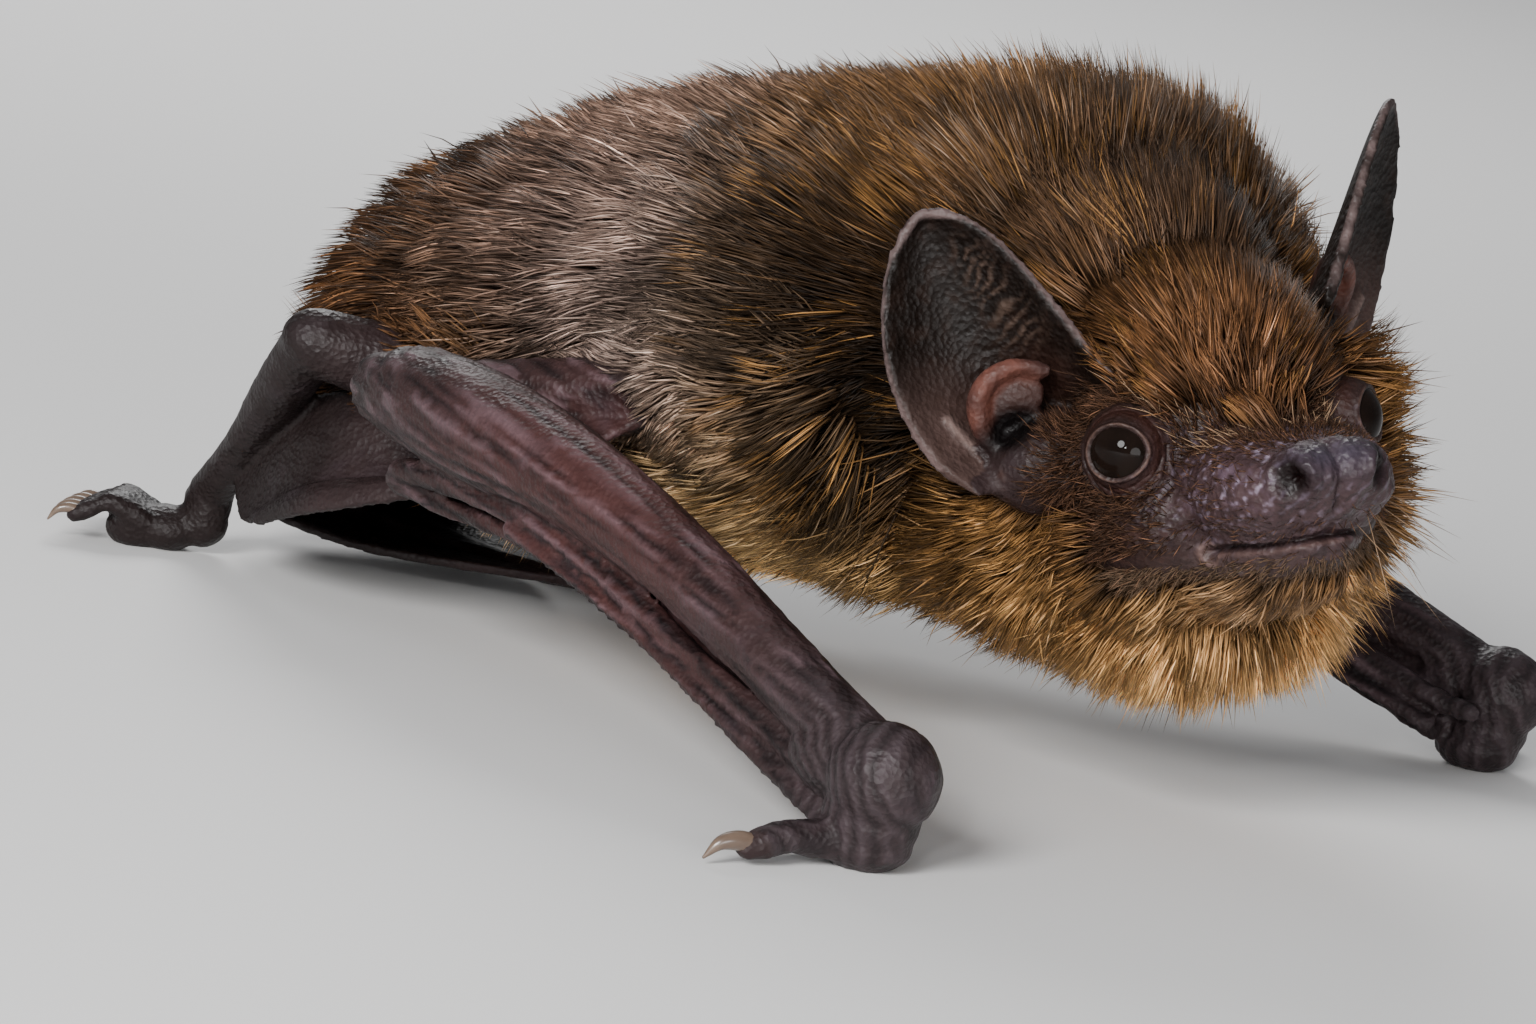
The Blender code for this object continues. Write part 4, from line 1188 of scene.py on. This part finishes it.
class Locks:
    """Tapered three-sided locks: places, widths, colours and their patch on the unwrap."""

    def __init__(self):
        self.verts, self.loops, self.sizes, self.colours, self.uvs = [], [], [], [], []
        self.count = 0

    def add(self, kind, root, first, second, width, flat, shades, uv):
        rings, widths = kind
        n, m = len(root), 3 * len(rings) + 1
        verts = np.empty((n, m, 3))
        side = unit(np.cross(second - root, flat))
        up = np.cross(side, unit(second - root))
        for k, (t, w) in enumerate(zip(rings, widths)):
            centre = (1 - t) ** 2 * root + 2 * t * (1 - t) * first + t * t * second
            for j in range(3):
                angle = j * 2 * math.pi / 3 + math.pi / 2
                offset = side * math.cos(angle) + up * 0.6 * math.sin(angle)
                verts[:, 3 * k + j] = centre + offset * (width * w / 2)[:, None]
        verts[:, -1] = second
        faces = [
            (3 * k + j, 3 * k + (j + 1) % 3, 3 * k + 3 + (j + 1) % 3, 3 * k + 3 + j)
            for k in range(len(rings) - 1)
            for j in range(3)
        ]
        faces += [(m - 4 + j, m - 4 + (j + 1) % 3, m - 1) for j in range(3)] + [(2, 1, 0)]
        loops = np.array([i for f in faces for i in f])
        index = self.count + np.arange(n)[:, None] * m + loops
        tip, middle, base = shades
        levels = np.append(np.repeat(rings, 3), 1.0)
        low = mix(base[:, None], middle[:, None], np.minimum(levels / 0.4, 1)[None, :, None])
        light = (np.clip((levels - 0.34) / 0.52, 0, 1) ** 1.2)[None, :, None]
        across = np.append(np.tile((0, 1, 2), len(rings)), 1) / 2 - 0.5
        patch = np.stack((across, levels - 0.5), 1) * 0.003
        self.verts.append(verts.reshape(-1, 3))
        self.loops.append(index.ravel())
        self.sizes.append(np.tile([len(f) for f in faces], n))
        self.colours.append(mix(low, tip[:, None], light).reshape(-1, 3))
        self.uvs.append((uv[:, None, :] + patch[None])[:, loops].reshape(-1, 2))
        self.count += n * m

    def object(self, name):
        verts, loops, sizes = (np.concatenate(v) for v in (self.verts, self.loops, self.sizes))
        mesh = bpy.data.meshes.new(name)
        mesh.vertices.add(len(verts))
        mesh.vertices.foreach_set("co", metres(verts).astype(np.float32).ravel())
        mesh.loops.add(len(loops))
        mesh.loops.foreach_set("vertex_index", loops.astype(np.int32))
        mesh.polygons.add(len(sizes))
        starts = np.concatenate(((0,), np.cumsum(sizes)[:-1]))
        mesh.polygons.foreach_set("loop_start", starts.astype(np.int32))
        mesh.update(calc_edges=True)
        mesh.shade_smooth()
        bake = mesh.uv_layers.new(name="OFBake")
        bake.data.foreach_set("uv", np.concatenate(self.uvs).astype(np.float32).ravel())
        made = placed(name, mesh)
        paint(made, np.concatenate(self.colours))
        return made


def unwrapped(p, where):
    """Where a place falls when the skin is unrolled: about the trunk, or about the head."""
    if where == "head":
        h = to_head(p) - np.array((4.0, 0, 2.0))
        r = np.linalg.norm(h, axis=1)
        u = np.arctan2(h[:, 1], h[:, 2])
        v = np.arccos(np.clip(h[:, 0] / r, -1, 1))
    else:
        u = np.arctan2(p[:, 1], p[:, 2] - 14)
        v = p[:, 0]
    uv = np.stack((u, v), 1)
    low, high = uv.min(0), uv.max(0)
    return 0.01 + 0.98 * (uv - low) / (high - low)


COAT_LOCKS = 114000
LOCKS_PER_TUFT, LOCKS_PER_POINT = 90, 15
BODY_LOCK, HEAD_LOCK = 0.155, 0.09  # widths
HEAD_DENSITY, RUMP_DENSITY = 2.3, 0.65  # beside the back's
CROWN_ROUNDS = 160  # of smoothing, so that no ledge shows between crown and brow
LONG_SHARE = 0.4  # of all locks are long ones
FLOOR_GAP = 0.35  # the coat's tips stay this far above the floor
ROOT_DEPTH = 0.15  # the locks start this far inside the skin
FACE_HAIRS = 7500
WHISKERS = 14


def coat_cover(verts, depth):
    """1 where the coat grows, 0 on bare skin and inside the ears."""
    bare = bare_face(to_head(verts))
    for side in SIGN:
        e = to_ear(verts, side)
        s, off = ear_parts(e, side)
        sheet = (np.abs(off) < 0.75) & (np.abs(s) < 1.2) & (e[:, 1] > 1.4)
        cup = (off < 0.8) & (np.abs(s) < 1.0) & (e[:, 1] > -0.9) & (e[:, 2] > -0.9)
        bare = np.where(sheet | cup, 1, bare)
    return smoothstep(0.02, 0.2, depth) * (1 - bare)


def grow_coat(skin, finish):
    verts, out, tris = places(skin), normals(skin), triangles(skin)
    depth = depth_below(coat_shell(), verts)
    cover = coat_cover(verts, depth)
    crown = near_head(verts) * smoothstep(3, 5, to_head(verts)[:, 2])
    depth = blended(depth[:, None], edges(skin), crown, CROWN_ROUNDS)[:, 0]
    x = verts[:, 0]
    density = cover * mix(1.0, HEAD_DENSITY, smoothstep(5, 14, x))
    density = density * mix(RUMP_DENSITY, 1.0, smoothstep(-24, -10, x))
    spread = sampled(verts, tris, density[tris].mean(1), COAT_LOCKS)
    root, normal, deep = over(verts, *spread), unit(over(out, *spread)), over(depth, *spread)
    crest = smoothstep(7, 11, to_head(root)[:, 2]) * smoothstep(5, 14, root[:, 0])
    shape, long, tuft, point = coat_shapes(root, normal, deep, crest)
    shades = coat_shades(root, crest, tuft, point)
    return coat_pieces(shape, shades, long > np.quantile(long, 1 - LONG_SHARE), finish), cover


def coat_shapes(root, normal, deep, crest):
    """Each lock's shape and length, and the leaders of its tuft and of its point."""
    h = to_head(root)
    on_head = smoothstep(5, 14, root[:, 0])
    fringe = ruff(h) * on_head
    way = lie(root, normal)
    jitter = RNG.normal(size=root.shape) * mix(0.2, 0.3, on_head)[:, None]
    way = unit(way + jitter - normal * (jitter * normal).sum(1)[:, None])
    stray = RNG.random(COAT_LOCKS) < 0.02 + 0.05 * crest + 0.05 * fringe
    tall = np.clip(deep, 0.22, 5.0) * (0.74 + 0.3 * RNG.random(COAT_LOCKS))
    far_side = smoothstep(2.0, 6.0, h[:, 1])
    tall += fringe * (0.9 + 2.4 * far_side) * RNG.random(COAT_LOCKS) ** 0.8
    tall += crest * 0.7 * RNG.random(COAT_LOCKS) + stray * 0.7
    long = (1.15 + 1.12 * np.clip(deep, 0, 5)) * (0.75 + 0.4 * RNG.random(COAT_LOCKS))
    long = np.maximum(long, tall * mix(1.25, 1.06, fringe))
    steep = np.clip(tall / long / 0.66, 0.1, 1.35)
    low = steep * mix(0.34, 0.75, np.maximum(fringe, crest * 0.7))
    long = tall / (0.5 * (np.sin(steep) + np.sin(low)))
    first, second = curved(root, way, normal, long, steep, low)
    calm = np.where(stray, 0.2, 1.0)
    tuft, first, second = gathered(root, first, second, LOCKS_PER_TUFT, 0.3 * calm)
    point, first, second = gathered(root, first, second, LOCKS_PER_POINT, 0.85 * calm)
    first[:, 2] = np.maximum(first[:, 2], FLOOR_GAP)
    second[:, 2] = np.maximum(second[:, 2], FLOOR_GAP)
    width = mix(BODY_LOCK, HEAD_LOCK, on_head) * (0.75 + 0.5 * RNG.random(COAT_LOCKS))
    width = width * smoothstep(0.0, 3.0, long) ** 0.35
    return (root - normal * ROOT_DEPTH, first, second, width, normal), long, tuft, point


def coat_shades(root, crest, tuft, point):
    """Each lock's tip, middle and root colours: the markings, varied by lock and by tuft."""
    tip, middle, base = coat_colours(root)
    shade = RNG.normal(size=COAT_LOCKS)
    glow = np.exp(0.27 * RNG.normal(size=COAT_LOCKS) + 0.3 * shade[point] + 0.3 * shade[tuft])
    bright = RNG.random(COAT_LOCKS)
    glow = glow * np.where(bright > 0.86, 1.8, 1) * np.where(bright < 0.3, 0.45, 1)
    pale = np.where(bright > 0.94 - 0.08 * crest, 0.3 + 0.3 * crest, 0)[:, None]
    tip = mix(tip, tip.mean(1, keepdims=True) * (1.15, 1.0, 0.85), pale) * glow[:, None]
    golden = (RNG.random(COAT_LOCKS) > 0.88)[point] * (0.15 + 0.6 * RNG.random(COAT_LOCKS))
    golden = golden * smoothstep(2, 8, root[:, 0])
    tip = mix(tip, tone(*GOLD) * glow[:, None] ** 0.5, golden[:, None])
    return tip, middle * glow[:, None] ** 0.7, base


def coat_pieces(shape, shades, long_enough, finish):
    """One object for each region; the longer locks get one more ring, to bend over."""
    made = []
    root = shape[0]
    for name, (mask, where) in coat_regions(root).items():
        locks = Locks()
        uv = np.zeros((COAT_LOCKS, 2))
        uv[mask] = unwrapped(root[mask], where)
        for kind, own in ((LONG_LOCK, mask & long_enough), (SHORT_LOCK, mask & ~long_enough)):
            locks.add(kind, *(v[own] for v in shape), [v[own] for v in shades], uv[own])
        made.append(locks.object(name))
        made[-1].data.materials.append(finish)
    return made


def gathered(root, first, second, size, pull):
    """Locks lean towards the leader of their tuft, so that their tips come to points."""
    leaders = RNG.choice(len(root), len(root) // size, replace=False)
    spread = kdtree.KDTree(len(leaders))
    for i, place in enumerate(root[leaders].tolist()):
        spread.insert(place, i)
    spread.balance()
    leader = np.array([leaders[spread.find(place)[1]] for place in root.tolist()])
    lean = (pull * (0.25 + 0.75 * RNG.random(len(root))))[:, None]
    tip = mix(second, second[leader] + (root - root[leader]) * 0.3, lean)
    return leader, mix(first, first[leader] + (root - root[leader]) * 0.6, lean * 0.5), tip


def grow_face_hair(skin, finish):
    """Short pale hairs over the bare face, and a few long whiskers beside the muzzle."""
    verts, out, tris = places(skin), normals(skin), triangles(skin)
    weight = face_hair_density(to_head(verts)) * near_head(verts)
    spread = sampled(verts, tris, weight[tris].mean(1), FACE_HAIRS)
    root, normal = over(verts, *spread), unit(over(out, *spread))
    h = to_head(root)
    x, y, z = h.T
    whisker = np.zeros(FACE_HAIRS, bool)
    pad = (x > 12.5) & (y > 1.0) & (z < -0.4) & (z > -1.9)
    whisker[np.flatnonzero(pad)[:WHISKERS]] = True
    way = unit(lie(root, normal) + RNG.normal(size=root.shape) * 0.4)
    brow = (z > 1.6) & (np.abs(y) < 4.4) & (x < 13) & (RNG.random(FACE_HAIRS) < 0.1)
    furry = smoothstep(10.5, 7.5, x) + smoothstep(2.0, 3.6, z)
    short = (0.3 + 0.35 * RNG.random(FACE_HAIRS)) * (1 + 0.8 * np.minimum(furry, 1))
    long = np.where(whisker, 3.4 + 1.8 * RNG.random(FACE_HAIRS), short) + brow * 0.6
    steep = np.where(whisker, 1.15, 0.35 + 0.25 * RNG.random(FACE_HAIRS))
    first, second = curved(root, way, normal, long, steep, np.where(whisker, 0.9, 0.15))
    width = np.where(whisker, 0.045, 0.04)
    shade = tone(66, 45, 32) * np.exp(RNG.normal(size=FACE_HAIRS) * 0.55)[:, None]
    shade = np.where((z < -2.4)[:, None], shade * 0.6 + tone(96, 80, 64) * 0.6, shade)
    shade = np.where((whisker | brow)[:, None], tone(150, 122, 96), shade)
    hairs = Locks()
    shades = (shade, shade, shade * 0.7)
    hairs.add(SHORT_LOCK, root, first, second, width, normal, shades, unwrapped(root, "head"))
    piece = hairs.object("face_hair")
    piece.data.materials.append(finish)
    return piece


def face_hair_density(h):
    """Thicker towards the coat; none on the lids, the nose and the lips."""
    x, z = h[:, 0], h[:, 2]
    nose = smoothstep(14.6, 15.6, x) * smoothstep(-1.4, -0.6, z)
    weight = bare_face(h) * ~near_eyes(h, 1.8) * (1 - nose)
    weight *= (np.abs(z - mouth_line(h)) > 0.25) * (x > 5)
    chin, top = smoothstep(-2.2, -2.9, z), smoothstep(1.0, 2.4, z)
    return weight * (0.15 + 1.0 * chin + 1.4 * top + 1.6 * smoothstep(11.0, 8.0, x))


def coat_regions(root):
    """Parts the coat as a furrier would: crown, brow, cheeks, throat, back, sides, belly, rump."""
    h = to_head(root)
    angle = np.degrees(np.arctan2(root[:, 1], root[:, 2] - 14))
    on_head = root[:, 0] > 13.0 - 0.25 * root[:, 1]
    crown = on_head & (h[:, 2] > 4.6)
    brow = crown & (h[:, 0] > 5.2)
    crown &= ~brow
    throat = on_head & (h[:, 2] < -3.2)
    cheek = on_head & ~crown & ~brow & ~throat
    rump = ~on_head & (root[:, 0] < -13)
    nape = ~on_head & (root[:, 0] > 5)
    trunk = ~on_head & ~rump & ~nape
    under = np.abs(angle) > 120
    right = root[:, 1] < 0.4
    return {
        "coat_brow": (brow, "head"),
        "coat_crown_R": (crown & (h[:, 1] < 0), "head"),
        "coat_crown_L": (crown & (h[:, 1] >= 0), "head"),
        "coat_cheek_R": (cheek & (h[:, 1] < 0), "head"),
        "coat_cheek_L": (cheek & (h[:, 1] >= 0), "head"),
        "coat_throat": (throat, "head"),
        "coat_nape_R": (nape & ~under & right, "body"),
        "coat_nape_L": (nape & ~under & ~right, "body"),
        "coat_breast": (nape & under, "body"),
        "coat_back": (trunk & (np.abs(angle) < 55), "body"),
        "coat_side_R": (trunk & (np.abs(angle) >= 55) & ~under & right, "body"),
        "coat_side_L": (trunk & (np.abs(angle) >= 55) & ~under & ~right, "body"),
        "coat_belly": (trunk & under, "body"),
        "coat_rump_R": (rump & right, "body"),
        "coat_rump_L": (rump & ~right, "body"),
    }


# ---------------------------------------------------------------- finishes


def set_sockets(node, sockets):
    for socket, value in sockets.items():
        node.inputs[socket.replace("_", " ")].default_value = value


class Finish:
    """A material with a Principled shader, and the nodes that feed it."""

    def __init__(self, name, **sockets):
        self.material = bpy.data.materials.new(name)
        self.material.use_nodes = True
        self.tree = self.material.node_tree
        self.shader = self.tree.nodes["Principled BSDF"]
        set_sockets(self.shader, sockets)

    def node(self, kind, operation=None, attribute=None, **sockets):
        made = self.tree.nodes.new("ShaderNode" + kind)
        if operation:
            made.operation = operation
        if attribute:
            made.attribute_name = attribute
        set_sockets(made, sockets)
        return made

    def link(self, output, node, socket):
        self.tree.links.new(output, node.inputs[socket])

    def object_places(self):
        coords = self.tree.nodes.get("Texture Coordinate") or self.node("TexCoord")
        return coords.outputs["Object"]

    def texture(self, kind, **sockets):
        made = self.node(kind, **sockets)
        self.link(self.object_places(), made, "Vector")
        return made

    def ranged(self, output, **sockets):
        made = self.node("MapRange", **sockets)
        self.link(output, made, "Value")
        return made.outputs["Result"]

    def added(self, one, other):
        made = self.node("Math", operation="ADD")
        self.link(one, made, 0)
        self.link(other, made, 1)
        return made.outputs["Value"]

    def tinted(self, scale, low, high):
        """Base colour from the painted tint, mottled by fine noise, which it gives back."""
        tint = self.node("Attribute", attribute="tint")
        noise = self.texture("TexNoise", Scale=scale, Detail=4)
        multiply = self.node("VectorMath", operation="SCALE")
        self.link(tint.outputs["Color"], multiply, 0)
        self.link(self.ranged(noise.outputs["Fac"], To_Min=low, To_Max=high), multiply, "Scale")
        self.link(multiply.outputs["Vector"], self.shader, "Base Color")
        return noise.outputs["Fac"]


def skin_finish():
    finish = Finish("bat_skin", Specular_IOR_Level=0.2)
    noise = finish.tinted(900, 0.72, 1.3)
    cells = finish.texture("TexVoronoi", Scale=4200)
    creases = finish.node("TexNoise", Scale=1500, Detail=6)
    stretch = finish.texture("Mapping", Scale=(0.35, 1.0, 1.0))  # longer along the bat
    finish.link(stretch.outputs["Vector"], creases, "Vector")
    deeper = finish.ranged(creases.outputs["Fac"], From_Min=0.3, From_Max=0.7)
    bump = finish.node("Bump", Strength=0.45, Distance=0.00012)
    finish.link(finish.added(cells.outputs["Distance"], deeper), bump, "Height")
    finish.link(bump.outputs["Normal"], finish.shader, "Normal")
    matte = finish.node("Attribute", attribute="matte")
    rough = finish.added(finish.ranged(noise, To_Min=0.24, To_Max=0.58), matte.outputs["Fac"])
    finish.link(rough, finish.shader, "Roughness")
    return finish.material


def coat_finish():
    finish = Finish("bat_coat", Roughness=0.5, Specular_IOR_Level=0.12)
    finish.tinted(2500, 0.85, 1.15)
    return finish.material


def ramped_finish(name, scale, dark, light, **sockets):
    """A finish whose colour wanders between a dark and a light tone."""
    finish = Finish(name, **sockets)
    noise = finish.texture("TexNoise", Scale=scale)
    ramp = finish.node("ValToRGB")
    for element, colour in zip(ramp.color_ramp.elements, (dark, light)):
        element.color = (*colour, 1)
    finish.link(noise.outputs["Fac"], ramp, "Fac")
    finish.link(ramp.outputs["Color"], finish.shader, "Base Color")
    return finish.material


def claw_finish():
    dark, light = (0.05, 0.03, 0.022), (0.2, 0.14, 0.1)
    return ramped_finish("bat_claw", 1200, dark, light, Roughness=0.3, Coat_Weight=0.3)


def eye_finish():
    dark, light = (0.002, 0.0015, 0.0015), (0.012, 0.007, 0.005)
    return ramped_finish("bat_eye", 700, dark, light, Roughness=0.03, Specular_IOR_Level=0.08)


# ---------------------------------------------------------------- the animal


skin, claws = build_flesh()
FUR = coat_finish()
COAT, COVER = grow_coat(skin, FUR)
COAT.append(grow_face_hair(skin, FUR))
paint(skin, skin_colours(places(skin), COVER))
paint_matte(skin)
skin.data.materials.append(skin_finish())
skin.data.shade_smooth()
claws.data.materials.append(claw_finish())
claws.data.shade_smooth()

for side, sign in SIGN.items():
    ball = Clay()
    ball.ball(head(eye_centre(sign)), (EYE_RADIUS,) * 3, rings=32)
    eye = ball.object(f"eyeball_{side}")
    eye.data.materials.append(eye_finish())
    eye.data.shade_smooth()
    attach(eye, "root")
    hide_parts(f"eye_{side}")

FLESH = [n for n in frame["nodes"] if not n.startswith(("eye_", "thumb_claw"))]
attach(skin, "root")
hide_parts(*FLESH)
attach(claws, "root")
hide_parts("thumb_claw_R", "thumb_claw_L")
for piece in COAT:
    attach(piece, "root")

# ---------------------------------------------------------------- floor, light, camera


VIEW_AROUND, VIEW_UP, VIEW_ROLL = 0.69048, 0.15659, 0.14490  # in radians
VIEW_TARGET = (1.298, -3.702, 7.830)
VIEW_DISTANCE = 0.2
LENS = 113.69
LAMPS = (  # name, place, size and power
    ("key", (0.1, -0.34, 0.17), 0.13, 1.9),
    ("fill", (0.32, -0.18, 0.05), 0.18, 0.75),
    ("catch", (0.16, -0.26, 0.1), 0.014, 0.16),
    ("rim", (-0.26, 0.22, 0.24), 0.2, 0.85),
)
LAMP_TARGET = (0, 0, 0.01)


def look_from():
    """The photo's own view: a long lens, low beside the bat's right cheek, held a little askew."""
    a, e, r = VIEW_AROUND, VIEW_UP, VIEW_ROLL
    back = Vector((math.sin(a) * math.cos(e), -math.cos(a) * math.cos(e), math.sin(e)))
    right = Vector((0, 0, 1)).cross(back).normalized()
    up = back.cross(right)
    right, up = right * math.cos(r) + up * math.sin(r), up * math.cos(r) - right * math.sin(r)
    data = bpy.data.cameras.new("camera")
    data.sensor_width = 36
    data.lens = LENS
    data.clip_start = 0.001
    camera = placed("camera", data)
    target = (Vector(VIEW_TARGET) - Vector(MIDDLE)) * MM
    stand = Matrix.Translation(target + back * VIEW_DISTANCE)
    camera.matrix_world = stand @ Matrix((right, up, back)).transposed().to_4x4()
    bpy.context.scene.camera = camera


def light(name, place, size, power):
    data = bpy.data.lights.new(name, "AREA")
    data.shape = "DISK"
    data.size = size
    data.energy = power
    lamp = placed(name, data)
    lamp.location = place
    lamp.rotation_euler = (Vector(LAMP_TARGET) - Vector(place)).to_track_quat("-Z", "Y").to_euler()


def studio_floor():
    """A round floor that sweeps up far from the bat, so that no edge shows."""
    level, reach, rise, steps, sides = 0.15, 1.1, 0.42, 24, 96
    rings = [(level, 0.0)]
    rings += [(level + reach * k / steps, rise * (k / steps) ** 2) for k in range(1, steps + 1)]
    angles = [2 * math.pi * k / sides for k in range(sides)]
    verts = [(0, 0, 0)] + [(r * math.cos(a), r * math.sin(a), z) for r, z in rings for a in angles]
    faces = [(0, 1 + k, 1 + (k + 1) % sides) for k in range(sides)]
    for start in range(1, 1 + steps * sides, sides):
        for k in range(sides):
            a, b = start + k, start + (k + 1) % sides
            faces.append((a, a + sides, b + sides, b))
    made = meshed("floor", verts, faces)
    made.data.shade_smooth()
    return made


floor = studio_floor()
floor.data.materials.append(
    Finish("floor", Roughness=0.7, Base_Color=(0.8, 0.79, 0.78, 1)).material
)

look_from()
for lamp in LAMPS:
    light(*lamp)
world = bpy.context.scene.world or bpy.data.worlds.new("world")
bpy.context.scene.world = world
world.use_nodes = True
sky = world.node_tree.nodes["Background"]
set_sockets(sky, {"Color": (0.82, 0.85, 0.9, 1), "Strength": 0.27})
